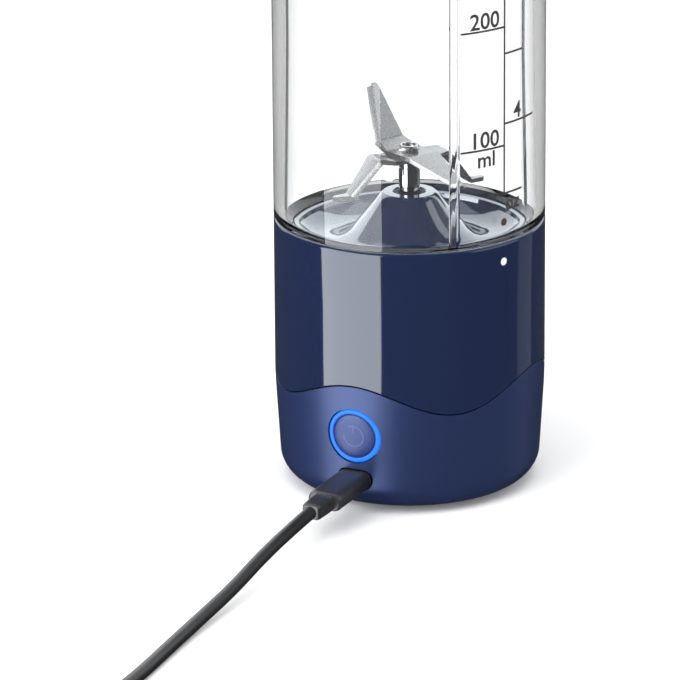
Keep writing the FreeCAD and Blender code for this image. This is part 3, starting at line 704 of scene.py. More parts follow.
def makeTie():
    # a flat strap round the coil, with its end pressed on top
    middle, half, side = tie["middle"], tie["half"], tie["width"] / 2
    high, thick = tie["height"], tie["thick"]
    strap = bar("coilTie", (middle - half, -side, 0.02), (middle + half, side, high))
    pick(strap, "FACE", lambda f: abs(f.normal.y) > 0.9)
    bpy.ops.mesh.delete(type="FACE")
    editing(False)
    modified(strap, "SOLIDIFY", thickness=thick * mm, offset=-1)
    eased(strap, 0.6, 3, 40)
    end = bar("tieEnd", (middle - 1.5, -side, high), (middle + half + 1.2, side, high + thick))
    strap = joined("coilTie", [strap, eased(end, 0.15, 2)])
    placed(strap, turn=(0, 0, tie["angle"]))
    placed(strap, [v / mm for v in cord["coilCentre"]] + [0])
    return dress(smoothed(strap), "charge_cable", "cable_plastic", material=finish["black_plastic"])


plug = {
    "size": (9.4, 5.0),
    "corner": 2.35,
    "level": 9.2,
    "body": [(-33.5, 0.93), (-33.8, 0.985), (-34.3, 1.0), (-50.9, 1.0), (-51.5, 0.965), (-52.0, 0.87)],
    "collarSize": (5.3, 4.5),
    "collarCorner": 1.0,
    "collarLevel": 9.05,
    "collar": [(-51.6, 0.98), (-54.5, 0.98), (-58.9, 0.93), (-59.6, 0.88), (-60.0, 0.78)],
}


def makePlug():
    body = oblong("chargingPlug", plug["size"], plug["corner"], (0, plug["level"]), plug["body"])
    collar = oblong("plugCollar", plug["collarSize"], plug["collarCorner"], (0, plug["collarLevel"]),
                    plug["collar"])
    return [dress(smoothed(body, 26), "charge_cable", "cable_plastic", "cable_plug"),
            dress(smoothed(collar, 26), "charge_cable", "cable_plastic", "cable_collar")]


supply = {
    "x": 2.0,
    "z": 3.9,
    "half": 7.7,
    "back": -243.0,
    "front": -267.0,
    "tip": -279.0,
    "grip": (1.6, -0.35),
    "collar": [(-243.4, 1.0), (-241.0, 0.98), (-240.8, 0.9), (-239.8, 0.9), (-239.6, 0.95), (-238.2, 0.92),
               (-238.0, 0.84), (-237.0, 0.84), (-236.8, 0.88), (-234.4, 0.82), (-234.0, 0.74)],
    "shell": (6.0, 2.25, 0.3, 11.6),
    "windowX": 2.9,
    "windowY": (-274.5, -272.1),
    "contactX": (-3.5, -1.0, 1.0, 3.5),
    "contactY": (-278.0, -269.0),
}


def makeSupplyPlug():
    x, z = supply["x"], supply["z"]
    half, front = supply["half"], supply["front"]
    body = eased(bar("supplyPlug", (x - half, front, 0.0), (x + half, supply["back"], 2 * z)), 1.7, 5)
    margin, depth = supply["grip"]
    for side in (1, -1):
        pick(body, "FACE", lambda f: f.normal.z * side > 0.99 and f.area > 60 * mm * mm)
        bpy.ops.mesh.inset(thickness=margin * mm, depth=depth * mm)
        bpy.ops.mesh.inset(thickness=0.25 * mm, depth=0.0)
        editing(False)
    dress(smoothed(body, 30), "charge_cable", "cable_plastic", "supply_plug")
    collar = oblong("supplyCollar", (5.8, 5.6), 2.7, (x, z), supply["collar"])
    dress(smoothed(collar, 26), "charge_cable", "cable_plastic", "supply_collar")
    wide, high, wall, deep = supply["shell"]
    shell = bar("supplyShell", (x - wide, supply["tip"], z - high), (x + wide, front + 2.0, z + high))
    pick(eased(shell, 0.35, 3), "FACE", lambda f: f.normal.y < -0.99)
    bpy.ops.mesh.inset(thickness=wall * mm)
    drawOut(0, deep, 0)
    closeShell()
    near, far = supply["windowY"]
    for side in (-1, 1):
        middle = x + side * supply["windowX"]
        cutBy(shell, bar("window", (middle - 1.1, near, -1), (middle + 1.1, far, 9)))
    dress(smoothed(shell, 30), "charge_cable", "plug_steel", "supply_shell")
    near, far = supply["contactY"]
    strips = [eased(bar("contact", (x + at - 0.5, near, z - 0.12), (x + at + 0.5, far, z + 0.02)), 0.05, 2)
              for at in supply["contactX"]]
    contacts = smoothed(joined("supplyContacts", strips))
    dress(contacts, "charge_cable", "plug_steel", material=goldContact)
    return [body, collar, shell, contacts]


cordPiece = makeCord()
tiePiece = makeTie()
plugPieces = makePlug()
supplyPieces = makeSupplyPlug()
plugShell, supplyTongue = frame["nodes"]["cable_plug_shell"], frame["nodes"]["supply_tongue"]
for loosePiece in (cordPiece, tiePiece, *supplyPieces, supplyTongue):
    loosePiece.visible_glossy = False
print("cable made")

# the base's two shells, with the wavy joint between them

shells = {
    "steps": 240,
    "wall": 2.0,
    "seam": 31.0,
    "wave": 3.6,
    "waves": 4,
    "gap": 0.35,
    "seamEdge": 0.13,
    "rimRound": 0.9,
    "toe": (33.8, 8.0),
    "toeRound": 7.0,
    "underside": 0.8,
    "flare": ((34.55, 20.5), (34.88, 26.0)),
    "buttonHole": 7.5,
    "port": (10.0, 5.6),
}


def seamHeight(x, y):
    return shells["seam"] + shells["wave"] * math.cos(shells["waves"] * (math.atan2(y, x) + math.pi / 2))


def waveEdge(piece, shift):
    # lifts the ring of points at the joint's mean height onto the wave
    for v in piece.data.vertices:
        if abs(v.co.z - shells["seam"] * mm) < 0.01 * mm:
            v.co.z = (seamHeight(v.co.x, v.co.y) + shift) * mm


def roundCorner(centre, radius, start, end, count):
    # points of an arc in a section, angles in degrees
    turns = [math.radians(start + (end - start) * i / count) for i in range(count + 1)]
    return [(centre[0] + radius * math.cos(a), centre[1] + radius * math.sin(a)) for a in turns]


def makeUpperShell():
    r, wall, top = baseRadius, shells["wall"], baseTop
    edge = shells["rimRound"]
    rim = roundCorner((r - edge, top - edge), edge, 0, 90, 6)
    outline = [(r, shells["seam"]), (r, 40.0), (r, 55.0), *rim, (r - wall + 0.15, top),
               (r - wall + 0.15, 62.0), (r - wall, 62.0), (r - wall, 40.0), (r - wall, shells["seam"])]
    piece = spun("upperShell", outline, shells["steps"])
    waveEdge(piece, shells["gap"] / 2)
    eased(piece, shells["seamEdge"], 2, 50)
    dress(smoothed(piece, 20), "base", "gloss_shell", "upper_housing")


def makeLowerShell():
    wall, low, seam = shells["wall"], shells["underside"], shells["seam"]
    (toeR, toeZ), bend = shells["toe"], shells["toeRound"]
    toe = [(r, toeZ + (z - toeZ) * (toeZ - low) / bend)
           for r, z in roundCorner((toeR - bend, toeZ), bend, -90, 0, 10)]
    inner = bend - 1.5
    inside = [(toeR - wall - inner + inner * math.cos(a), toeZ + (toeZ - low - wall) * math.sin(a))
              for a in [math.radians(-9.0 * i) for i in range(11)]]
    middle = inside[-1][0] - 0.9
    (waistR, waistZ), (hipR, hipZ) = shells["flare"]
    outline = [(middle, low), *toe, (waistR, waistZ), (hipR, hipZ), (baseRadius, seam),
               (baseRadius - wall, seam), (hipR - wall, hipZ), *inside, (middle, low + wall)]
    piece = spun("lowerShell", outline, shells["steps"])
    waveEdge(piece, -shells["gap"] / 2)
    eased(piece, shells["seamEdge"], 2, 50)
    cutBy(piece, pin("hole", shells["buttonHole"], 14, (0, -baseRadius, buttonLevel), "Y", 96))
    cutBy(piece, oblong("port", shells["port"], 2.75, (0, plug["level"]), [(-40.0, 1.0), (-25.0, 1.0)]))
    dress(smoothed(piece, 20), "base", "satin_shell", "lower_housing")


makeUpperShell()
makeLowerShell()
print("base shells made")

# foot ring

foot = {"outer": 24.0, "inner": 20.5, "height": 1.6, "groove": 0.35}


def makeFoot():
    inner, outer, high = foot["inner"], foot["outer"], foot["height"]
    middle = (outer + inner) / 2
    outline = [(inner, high), (inner, 0.0), (middle - 0.5, 0.0), (middle - 0.3, foot["groove"]),
               (middle + 0.3, foot["groove"]), (middle + 0.5, 0.0), (outer, 0.0), (outer, high)]
    piece = eased(spun("footRing", outline, 128), 0.15, 2, 40)
    dress(smoothed(piece), "base", "foot_rubber", "foot_ring")


makeFoot()

# power button, its lit ring and its mark

button = {
    "face": 5.85,
    "front": -34.36,
    "ringOuter": 7.15,
    "ringInner": 5.9,
    "ringFront": -34.48,
    "ringDepth": 3.5,
    "stem": (1.6, -3.4),
    "markRadius": 2.75,
    "markLift": 0.06,
    "stroke": 0.36,
    "gap": 56.0,
    "lean": 0.06,
}


def faceForward(piece, y):
    # stands a piece up at the button, looking out, curved and leaning like the shell round it
    placed(piece, (0, y, buttonLevel), (90, 0, 0))
    for v in piece.data.vertices:
        v.co.y += (abs(y) - math.sqrt(y * y - (v.co.x / mm) ** 2)) * mm
        v.co.y -= button["lean"] * (v.co.z - buttonLevel * mm)
    return piece


def makeButton():
    r = button["face"]
    stem, back = button["stem"]
    crown = [(0.0, 0.1), (2.0, 0.09), (4.0, 0.05), (r - 0.45, 0.0), (r - 0.15, -0.12), (r, -0.42),
             (r, -2.4), (r - 0.9, -2.4), (r - 0.9, -1.8), (stem, -1.8), (stem, back), (0.0, back)]
    piece = faceForward(spun("buttonFace", crown, 96, closed=False), button["front"])
    dress(smoothed(piece, 40), "power_button", "button_satin", "power_button")


def makeMark():
    # the power sign: an open ring and a bar, raised a little on the button
    half, radius, gap = button["stroke"] / 2, button["markRadius"], button["gap"]
    section = [(radius - half, 0.0), (radius + half, 0.0), (radius + half, 0.04), (radius - half, 0.04)]
    walkPoint(section + section[:1])
    weld()
    bpy.ops.mesh.edge_face_add()
    bpy.ops.mesh.spin(steps=40, angle=math.radians(360 - gap), center=(0, 0, 0), axis=(0, 0, 1))
    closeShell()
    ring = placed(fresh("markArc"), (0, 0, button["markLift"]), (0, 0, 90 + gap / 2))
    stem = eased(bar("markBar", (-half, 0.75, 0.05), (half, radius + half + 0.35, 0.11)), 0.03, 2)
    mark = faceForward(joined("buttonMark", [ring, stem]), button["front"])
    dress(smoothed(mark), "power_button", "button_satin", material=inks["button"])


def makeLightRing():
    outer, inner, back = button["ringOuter"], button["ringInner"], -button["ringDepth"]
    outline = [(inner, back), (outer, back), (outer, -0.3), (outer - 0.12, -0.08), (outer - 0.32, 0.0),
               (inner + 0.25, -0.02), (inner + 0.06, -0.12), (inner, -0.35)]
    piece = faceForward(spun("lightRing", outline, 120), button["ringFront"])
    dress(smoothed(piece, 50), "base", "light_lens", "light_ring")


makeButton()
makeMark()
makeLightRing()
print("button made")

# blade deck, spindle, blades and nut

deck = {
    "lip": 29.6,
    "lipTop": 70.3,
    "bossTop": 78.4,
    "bore": 4.2,
    "counterbore": (5.2, 76.3),
    "under": 58.2,
    "bowl": [(28.0, 69.0), (26.6, 67.5), (24.4, 66.1), (21.8, 65.45), (19.8, 65.5), (18.2, 65.95),
             (16.6, 67.1), (14.8, 68.9), (12.8, 71.2), (10.8, 73.6), (9.2, 75.6), (8.0, 77.1),
             (7.3, 78.0), (6.7, 78.35)],
    "belly": [(12.0, 60.0), (12.0, 62.8), (26.5, 62.8), (27.6, 60.0)],
    "flange": (32.9, 60.2),
}


def makeDeck():
    # counted from the bore's foot, out under the bowl and back over it
    lip, top, boss, bore = deck["lip"], deck["lipTop"], deck["bossTop"], deck["bore"]
    wide, high = deck["counterbore"]
    flange, flangeTop = deck["flange"]
    outline = [(wide, 60.0), *deck["belly"], (27.6, deck["under"]), (flange, deck["under"]),
               (flange, flangeTop), (lip, flangeTop), (lip, top - 0.4), (lip - 0.12, top - 0.12),
               (lip - 0.4, top), (lip - 1.3, top - 0.25), *deck["bowl"], (6.0, boss), (bore + 0.2, boss),
               (bore, boss - 0.2), (bore, high), (wide, high)]
    dress(smoothed(spun("bladeDeck", outline, 200), 24), "base", "gloss_shell", "blade_deck",
          material=deckGloss)


rotor = {
    "spindle": 2.7,
    "foot": [(0.0, 60.6), (1.5, 58.6), (4.0, 58.6), (4.0, 60.6)],
    "groove": (84.6, 85.25),
    "bladeLevel": 86.7,
    "thick": 1.1,
    "stud": 1.8,
    "nut": 4.8,
    "nutHigh": 1.5,
    "nutBore": 1.85,
    "nutTurn": 20.0,
}


def makeSpindle():
    r, top, stud = rotor["spindle"], rotor["bladeLevel"], rotor["stud"]
    stack = top + 2 * rotor["thick"]
    low, high = rotor["groove"]
    outline = [*rotor["foot"], (r, 60.6), (r, low), (r - 0.12, low + 0.15), (r - 0.12, high - 0.15),
               (r, high), (r, top - 0.15), (r - 0.15, top), (stud, top), (stud, stack + 0.8),
               (stud - 0.15, stack + 0.95), (0.0, stack + 0.95)]
    dress(smoothed(spun("driveSpindle", outline, 96), 30), "rotor", "spindle_chrome", "drive_spindle")


blades = {
    "lower": {"half": 4.3, "level": 0.0, "azimuth": -127.0, "grind": 1.1,
              "right": (5.8, [(3.8, 3.6, 9), (11.6, 1.9, -50), (4.4, 1.3, 0)]),
              "left": (5.8, [(3.8, 3.6, 9), (11.6, 1.9, -50), (4.4, 1.3, 0)])},
    "upper": {"half": 4.9, "level": 1.1, "azimuth": -25.0, "grind": 1.2,
              "right": (5.6, [(15.8, 1.5, -17.3)]),
              "left": (3.2, [(5.2, 4.5, 16), (14.7, 1.4, 62)])},
}


def bladePiece(name, half, rightArm, leftArm, grind):
    # a flat centre, then each arm drawn out fold by fold: (length, half width, slope)
    clearSelection()
    bpy.ops.mesh.primitive_plane_add(size=1)
    low, high = -leftArm[0], rightArm[0]
    piece = placed(fresh(name), ((low + high) / 2, 0, 0), size=((high - low) * mm, 2 * half * mm, 1))
    for side, (start, folds) in ((1, rightArm), (-1, leftArm)):
        x, width = start, half
        for length, nextWidth, slope in folds:
            pick(piece, "VERT", lambda v: abs(v.co.x - side * x * mm) < 0.01 * mm)
            bpy.ops.mesh.select_mode(type="EDGE")
            run, rise = length * math.cos(math.radians(slope)), length * math.sin(math.radians(slope))
            drawOut(side * run, 0, rise)
            bpy.ops.transform.resize(value=(1, nextWidth / width, 1), center_override=(0, 0, 0))
            x, width = x + run, nextWidth
        editing(False)
    ends = max(v.co.x for v in piece.data.vertices), min(v.co.x for v in piece.data.vertices)
    pick(piece, "VERT", lambda v: v.co.x in ends)
    bpy.ops.mesh.bevel(offset=0.9 * mm, segments=5, affect="VERTICES")
    pick(piece, "EDGE", lambda edge: creased(piece, edge))
    bpy.ops.mesh.bevel(offset=0.45 * mm, segments=3, affect="EDGES")
    editing(False)
    modified(piece, "SOLIDIFY", thickness=rotor["thick"] * mm, offset=0.0, use_even_offset=True)
    for side in (1, -1):
        pick(piece, "VERT", lambda v: v.co.x * side > 6.5 * mm and v.co.y * side > 0.5 * mm
             and v.normal.z > 0.02)
        bpy.ops.transform.translate(value=(0, -side * grind * mm, 0))
        editing(False)
    return smoothed(eased(piece, 0.07, 2, 25), 22)


def creased(piece, edge):
    # an edge across the blade where two flats meet at an angle
    a, b = [piece.data.vertices[i].co for i in edge.vertices]
    if abs(a.x - b.x) > 0.01 * mm or abs(a.y - b.y) < 1.0 * mm:
        return False
    sides = [p.normal for p in piece.data.polygons if set(edge.vertices) <= set(p.vertices)]
    return len(sides) == 2 and sides[0].dot(sides[1]) < 0.999


def makeBlades():
    for which, plan in blades.items():
        piece = bladePiece(which + "Blade", plan["half"], plan["right"], plan["left"], plan["grind"])
        level = rotor["bladeLevel"] + plan["level"] + rotor["thick"] / 2
        placed(piece, (0, 0, level), (0, 0, plan["azimuth"]))
        steel = metal(which + "BladeSteel", (0.34, 0.336, 0.328), 0.27, 0.07, 70.0, 2400.0, 0.001,
                      plan["azimuth"], 0.15, 0.8)
        dress(piece, "rotor", "blade_steel", which + "_blade", material=steel)


def makeNut():
    # a square nut with turned corners
    low, half = rotor["bladeLevel"] + 2 * rotor["thick"], rotor["nut"] / 2
    high = low + rotor["nutHigh"]
    block = bar("bladeNut", (-half, -half, low), (half, half, high))
    corners = [(0, low - 1), (3.4, low - 1), (3.4, low + 0.75), (2.35, high + 0.02), (0, high + 0.02)]
    cutBy(block, spun("nutCone", corners, 64, closed=False), "INTERSECT")
    cutBy(block, pin("bore", rotor["nutBore"], 4, (0, 0, low), "Z", 48))
    placed(eased(block, 0.1, 2, 25), turn=(0, 0, rotor["nutTurn"]))
    dress(smoothed(block, 28), "rotor", "blade_steel", "blade_nut")


makeDeck()
makeSpindle()
makeBlades()
makeNut()
print("deck and blades made")

# screw threads, used on the cup's neck and mouth

thread = {"height": 1.4, "taper": 0.3, "pitch": 5.0, "steps": 24}


def threadRibs(name, root, tip, middle, arc, starts, offset):
    ribs = []
    rise = thread["pitch"] * starts * arc / 360
    low = middle - rise / 2 - thread["height"] / 2
    high = low + thread["height"]
    for i in range(starts):
        walkPoint([(root, low), (tip, low + thread["taper"]), (tip, high - thread["taper"]), (root, high),
                   (root, low)])
        weld()
        editing(False)
        rib = fresh("threadRib")
        modified(rib, "SCREW", angle=math.radians(arc), screw_offset=rise * mm, steps=thread["steps"],
                 render_steps=thread["steps"], axis="Z", use_merge_vertices=False)
        pickRims(rib)
        bpy.ops.mesh.edge_face_add()
        closeShell()
        ribs.append(placed(rib, turn=(0, 0, offset + 360 / starts * i - arc / 2)))
    return joined(name, ribs)


# the clear cup

cup = {
    "outer": 35.0,
    "inner": 32.0,
    "neckOuter": 31.9,
    "neckInner": 29.9,
    "neckDepth": 10.0,
    "mouthOuter": 32.6,
    "mouthInner": 30.9,
    "steps": 720,
    "ribs": (-45.0, 43.0, 124.5, 203.0),
    "ribWidth": 2.6,
    "ribRise": 0.85,
    "ribFlat": 0.62,
    "ribLow": 72.5,
    "ribHigh": 210.0,
}


def makeCup():
    # one closed section: up the outside, round the lip and down the inside
    low = cupBase - cup["neckDepth"]
    outer, inner, neck = cup["outer"], cup["inner"], cup["neckOuter"]
    mouthOuter, mouthInner, bore = cup["mouthOuter"], cup["mouthInner"], cup["neckInner"]
    outline = [
        (bore + 0.3, low), (neck - 0.3, low), (neck, low + 0.3), (neck, cupBase),
        *roundCorner((outer - 0.5, cupBase + 0.5), 0.5, -90, 0, 4), (outer, 120.0), (outer, 170.0),
        *roundCorner((outer - 0.8, mouthBase - 0.8), 0.8, 0, 90, 4), (mouthOuter, mouthBase),
        *roundCorner((mouthOuter - 0.4, cupTop - 0.4), 0.4, 0, 90, 3),
        *roundCorner((mouthInner + 0.4, cupTop - 0.4), 0.4, 90, 180, 3), (mouthInner, mouthBase - 1.0),
        (mouthInner + 0.5, mouthBase - 3.5), (inner, mouthBase - 6.0), (inner, cup["ribHigh"]),
        (inner, cup["ribHigh"] - 1.5), (inner, 150.0), (inner, 110.0), (inner, 80.0),
        (inner, cupBase + 5.0), (inner, cupBase + 2.2), (inner - 0.15, cupBase + 1.4),
        (inner - 0.6, cupBase + 0.6), (inner - 1.3, cupBase + 0.1), (bore, cupBase - 0.6),
        (bore, low + 0.3)]
    piece = spun("clearCup", outline, cup["steps"])
    raiseRibs(piece)
    cutBy(piece, threadRibs("cupThreads", neck - 0.3, 32.8, low + 3.5, 50, 4, 45), "UNION")
    cutBy(piece, threadRibs("mouthThreads", mouthOuter - 0.3, mouthOuter + 1.0, cupTop - 4.6, 60, 3, 90),
          "UNION")
    dress(smoothed(piece, 30), "cup", "clear_cup", "cup")


def raiseRibs(piece):
    # draws a flat-topped ridge out of the inner wall at each rib's angle
    half = cup["ribWidth"] / cup["inner"] / 2
    for v in piece.data.vertices:
        r = math.hypot(v.co.x, v.co.y) / mm
        lift = cup["ribRise"] - (cup["inner"] - r)
        if r > cup["inner"] + 0.02 or lift <= 0 or not cup["ribLow"] < v.co.z / mm < cup["ribHigh"] - 0.5:
            continue
        angle = math.atan2(v.co.y, v.co.x)
        for centre in [math.radians(a) for a in cup["ribs"]]:
            away = abs((angle - centre + math.pi) % (2 * math.pi) - math.pi) / half
            share = min(1.0, (1 - away) / (1 - cup["ribFlat"]))
            if share > 0:
                v.co.x *= 1 - lift * share / r
                v.co.y *= 1 - lift * share / r


def makeSeals():
    under, over = cupBase - cup["neckDepth"], cupTop + 0.5
    plans = (("cupSeal", "cup_seal", (30.0, 31.8), (under - 0.75, under - 0.05), 0.22),
             ("lidSeal", "lid_seal", (29.7, 33.1), (over - 0.45, over + 0.95), 0.3))
    for name, node, (inner, outer), (low, high), edge in plans:
        ring = spun(name, [(inner, low), (outer, low), (outer, high), (inner, high)], 160)
        dress(smoothed(eased(ring, edge, 3, 40)), node, "clear_silicone", node)


makeCup()
makeSeals()
print("cup made")

# the printed scale and the two lock dots

scale = {
    "azimuth": -22.0,
    "zero": 97.0 - 31.1,
    "perHundred": 31.1,
    "topMl": 475.0,
    "stroke": 0.55,
    "bendStep": 0.8,
    "mlTick": 13.2,
    "ozTick": (6.8, 12.0),
    "ounce": 29.57,
    "digit": 6.0,
    "bold": 0.1,
    "lift": 0.06,
    "thick": 0.03,
}


def flatLine(x0, z0, x1, z1):
    # a stroke on the unrolled cup: x runs round it and z up it
    half = scale["stroke"] / 2
    wide, high = (half, 0) if x0 == x1 else (0, half)
    low = (min(x0, x1) - wide, -scale["thick"], min(z0, z1) - high)
    high = (max(x0, x1) + wide, 0.0, max(z0, z1) + high)
    piece = bar("stroke", low, high)
    if z0 == z1:
        onlyPick(piece)
        editing(True)
        count = max(2, round((high[0] - low[0]) / scale["bendStep"]))
        for i in range(1, count):
            at = low[0] + (high[0] - low[0]) * i / count
            bpy.ops.mesh.select_all(action="SELECT")
            bpy.ops.mesh.bisect(plane_co=(at * mm, 0, 0), plane_no=(1, 0, 0))
        editing(False)
    return piece


def flatText(words, x, z, align, size):
    clearSelection()
    bpy.ops.object.text_add()
    text = bpy.context.object.data
    text.body = words
    text.size = size * mm
    text.align_x = align
    text.extrude = scale["thick"] / 2 * mm
    text.offset = scale["bold"] * mm
    text.resolution_u = 4
    bpy.ops.object.convert(target="MESH")
    return placed(fresh("figure"), (x, -scale["thick"] / 2, z), (90, 0, 0))


def levelOf(ml):
    return scale["zero"] + scale["perHundred"] * ml / 100


def makeScale():
    # texts stand this far beside the long line and above their ticks
    start, size = levelOf(2 * scale["ounce"]), scale["digit"]
    marks = [flatLine(0, start, 0, levelOf(scale["topMl"]))]
    for ml in (100, 200, 300, 400):
        marks.append(flatLine(-scale["mlTick"], levelOf(ml), 0, levelOf(ml)))
        marks.append(flatText(str(ml), -1.7, levelOf(ml) + 0.6, "RIGHT", size))
    marks.append(flatText("ml", -2.9, levelOf(100) - 4.5, "RIGHT", size * 0.95))
    for ounces in range(2, 17, 2):
        level, long = levelOf(ounces * scale["ounce"]), ounces % 4 == 0
        marks.append(flatLine(0, level, scale["ozTick"][long], level))
        if long:
            marks.append(flatText(str(ounces), 3.4, level + 0.7, "LEFT", size))
    marks.append(flatText("oz", 0.4, start - 4.6, "LEFT", size * 0.92))
    sheet = joined("printedScale", marks)
    wrapRound(sheet, cup["outer"] + scale["lift"], scale["azimuth"])
    dress(smoothed(sheet, 20), "cup", "clear_cup", material=inks["scale"])


def wrapRound(piece, radius, azimuth):
    # bends a flat print about the Z axis, its middle ending at the azimuth
    across = [v.co.x for v in piece.data.vertices]
    modified(piece, "SIMPLE_DEFORM", deform_method="BEND", deform_axis="Z",
             angle=(max(across) - min(across)) / (radius * mm))
    placed(piece, (0, -radius, 0))
    placed(piece, turn=(0, 0, azimuth + 90))


dots = {
    "radius": 1.02,
    "cupDot": (cupBase + 5.5, "cup", "clear_cup"),
    "baseDot": (baseTop - 4.9, "base", "gloss_shell"),
}


def makeDots():
    # they meet when the cup is locked
    for name in ("cupDot", "baseDot"):
        level, body, slot = dots[name]
        dot = eased(pin(name, dots["radius"], 0.05, (0, 0, 0), "Y", 40), 0.02, 2)
        placed(dot, (0, -baseRadius - 0.015, level))
        placed(dot, turn=(0, 0, scale["azimuth"] + 90))
        dress(smoothed(dot), body, slot, material=inks[name])


makeScale()
makeDots()
print("scale printed")

# the drinking lid, its flip cap and its carry loop

lid = {
    "base": 217.3,
    "plate": 229.0,
    "ledge": 231.4,
    "top": 238.0,
    "drum": 27.0,
    "skirt": 1.2,
    "lidWall": 2.0,
    "seat": (29.6, 33.2, 1.0),
    "spoutY": -12.0,
    "spoutOuter": 8.5,
    "spoutInner": 6.5,
    "spoutHigh": 6.0,
    "hinge": (6.5, 241.2),
    "hingeRadius": 2.3,
    "hingePin": 1.2,
    "ear": (6.65, 1.35),
    "loopZ": 234.6,
    "bossRadius": 2.6,
    "loopPin": 1.5,
}


def makeLid():
    r, drum, wall = baseRadius, lid["drum"], lid["lidWall"]
    base, ledge, top, plate = lid["base"], lid["ledge"], lid["top"], lid["plate"]
    skirt = r - lid["skirt"]
    seatIn, seatOut, seat = lid["seat"]
    outline = [
        (skirt, base), (r - 0.4, base), (r, base + 0.4), (r, base + 3.0), (r - 0.25, base + 3.25),
        (r - 0.25, base + 3.55), (r, base + 3.8),
        *roundCorner((r - 1.6, ledge - 1.6), 1.6, 0, 90, 6),
        *roundCorner((drum + 0.6, ledge + 0.6), 0.6, 270, 180, 4),
        *roundCorner((drum - 2.0, top - 2.0), 2.0, 0, 90, 7),
        (18.0, top + 0.02), (0.0, top + 0.02), (0.0, top - wall), (drum - 2.6, top - wall),
        (drum - wall, top - 2.6), (drum - wall, plate), (seatIn, plate), (seatIn, plate + seat),
        (seatOut, plate + seat), (seatOut, plate), (skirt, plate)]
    piece = spun("lidShell", outline, 200)
    tube, high = lid["spoutOuter"], top + lid["spoutHigh"]
    spout = spun("spout", [(0.0, top - 1.0), (tube, top - 1.0), (tube, high - 0.5), (tube - 0.15, high - 0.15),
                           (tube - 0.5, high), (0.0, high)], 96, closed=False)
    cutBy(piece, placed(spout, (0, lid["spoutY"], 0)), "UNION")
    (y, z), (earX, earHalf), barrel = lid["hinge"], lid["ear"], lid["hingeRadius"]
    for side in (-1, 1):
        x = side * earX
        cutBy(piece, pin("ear", barrel, 2 * earHalf, (x, y, z), "X", 48), "UNION")
        cutBy(piece, bar("heel", (x - earHalf, y - barrel, top - 1.0), (x + earHalf, y + barrel, z)), "UNION")
        cutBy(piece, pin("boss", lid["bossRadius"], 5.4, (side * 24.7, 0, lid["loopZ"]), "X", 48), "UNION")
        cutBy(piece, pin("loopHole", lid["loopPin"], 13.0, (side * 27.5, 0, lid["loopZ"]), "X", 32))
    cutBy(piece, pin("hingeHole", lid["hingePin"], 18.0, (0, y, z), "X", 32))
    cutBy(piece, pin("bore", lid["spoutInner"], 14.0, (0, lid["spoutY"], top), "Z", 96))
    dress(smoothed(piece, 30), "lid", "lid_shell", "lid")


cap = {
    "radius": 10.3,
    "wall": 1.5,
    "low": 239.2,
    "ceiling": 244.5,
    "top": 246.4,
    "thumb": (4.5, -12.6, -9.2),
    "arm": (4.9, 9.6),
    "barrel": 10.0,
    "stopper": [(0.0, 0.0), (6.1, 0.0), (6.15, -0.4), (5.9, -1.9), (6.05, -2.3), (5.85, -2.7), (5.7, -4.1),
                (5.3, -4.6), (4.3, -4.6), (4.1, -3.4), (0.0, -3.4)],
}


def makeFlipCap():
    r, spoutY, low, top = cap["radius"], lid["spoutY"], cap["low"], cap["top"]
    (y, z), ceiling, inner = lid["hinge"], cap["ceiling"], cap["radius"] - cap["wall"]
    outline = [(inner, low), (r - 0.25, low), (r, low + 0.25),
               *roundCorner((r - 1.4, top - 1.4), 1.4, 0, 90, 6), (4.0, top - 0.12),
               (0.0, top - 0.2), (0.0, ceiling), (inner, ceiling)]
    piece = spun("flipCap", outline, 120, closed=False)
    pickRims(piece)
    bpy.ops.mesh.bridge_edge_loops()
    closeShell()
    placed(piece, (0, spoutY, 0))
    half, near, far = cap["thumb"]
    thumb = bar("thumbTab", (-half, spoutY + near, ceiling - 1.2), (half, spoutY + far, ceiling + 0.6))
    cutBy(piece, eased(thumb, 0.6, 4), "UNION")
    half, start = cap["arm"]
    cutBy(piece, bar("capArm", (-half, spoutY + start, z - 0.5), (half, y, z + 2.3)), "UNION")
    cutBy(piece, pin("barrel", lid["hingeRadius"], cap["barrel"], (0, y, z), "X", 48), "UNION")
    cutBy(piece, pin("pinHole", lid["hingePin"], 12.0, (0, y, z), "X", 32))
    dress(smoothed(piece, 30), "flip_cap", "lid_shell", "flip_cap")
    stopper = spun("capPlug", [(x, ceiling + up) for x, up in cap["stopper"]], 96, closed=False)
    placed(stopper, (0, spoutY, 0))
    dress(smoothed(stopper, 30), "flip_cap", "clear_silicone", "cap_plug")


loop = {"inner": 27.9, "outer": 33.0, "half": 2.6, "corner": 1.5, "eye": 2.9,
        "shank": (1.45, 10.6, 27.7), "head": (2.2, 0.9, 33.45)}


def makeLoop():
    level, thick = lid["loopZ"], loop["outer"] - loop["inner"]
    middle = (loop["outer"] + loop["inner"]) / 2
    clearSelection()
    bpy.ops.mesh.primitive_plane_add(size=1)
    piece = fresh("carryLoop")
    editing(True)
    bpy.ops.transform.resize(value=(thick * mm, 2 * loop["half"] * mm, 1))
    bpy.ops.mesh.bevel(offset=loop["corner"] * mm, segments=5, affect="VERTICES")
    editing(False)
    pick(placed(piece, (middle, 0, level), (90, 0, 0)), "FACE", lambda face: True)
    bpy.ops.mesh.spin(steps=90, angle=math.pi, center=(0, 0, 0), axis=(0, 0, 1))
    closeShell()
    for side in (-1, 1):
        eye = pin("eye", loop["eye"], thick - 0.3, (side * (middle - 0.15), 0, level), "X", 48)
        cutBy(piece, eased(eye, 0.35, 3), "UNION")
        cutBy(piece, pin("eyeHole", lid["loopPin"], 8.0, (side * middle, 0, level), "X", 32))
    dress(smoothed(piece, 30), "carry_loop", "loop_plastic", "carry_loop")


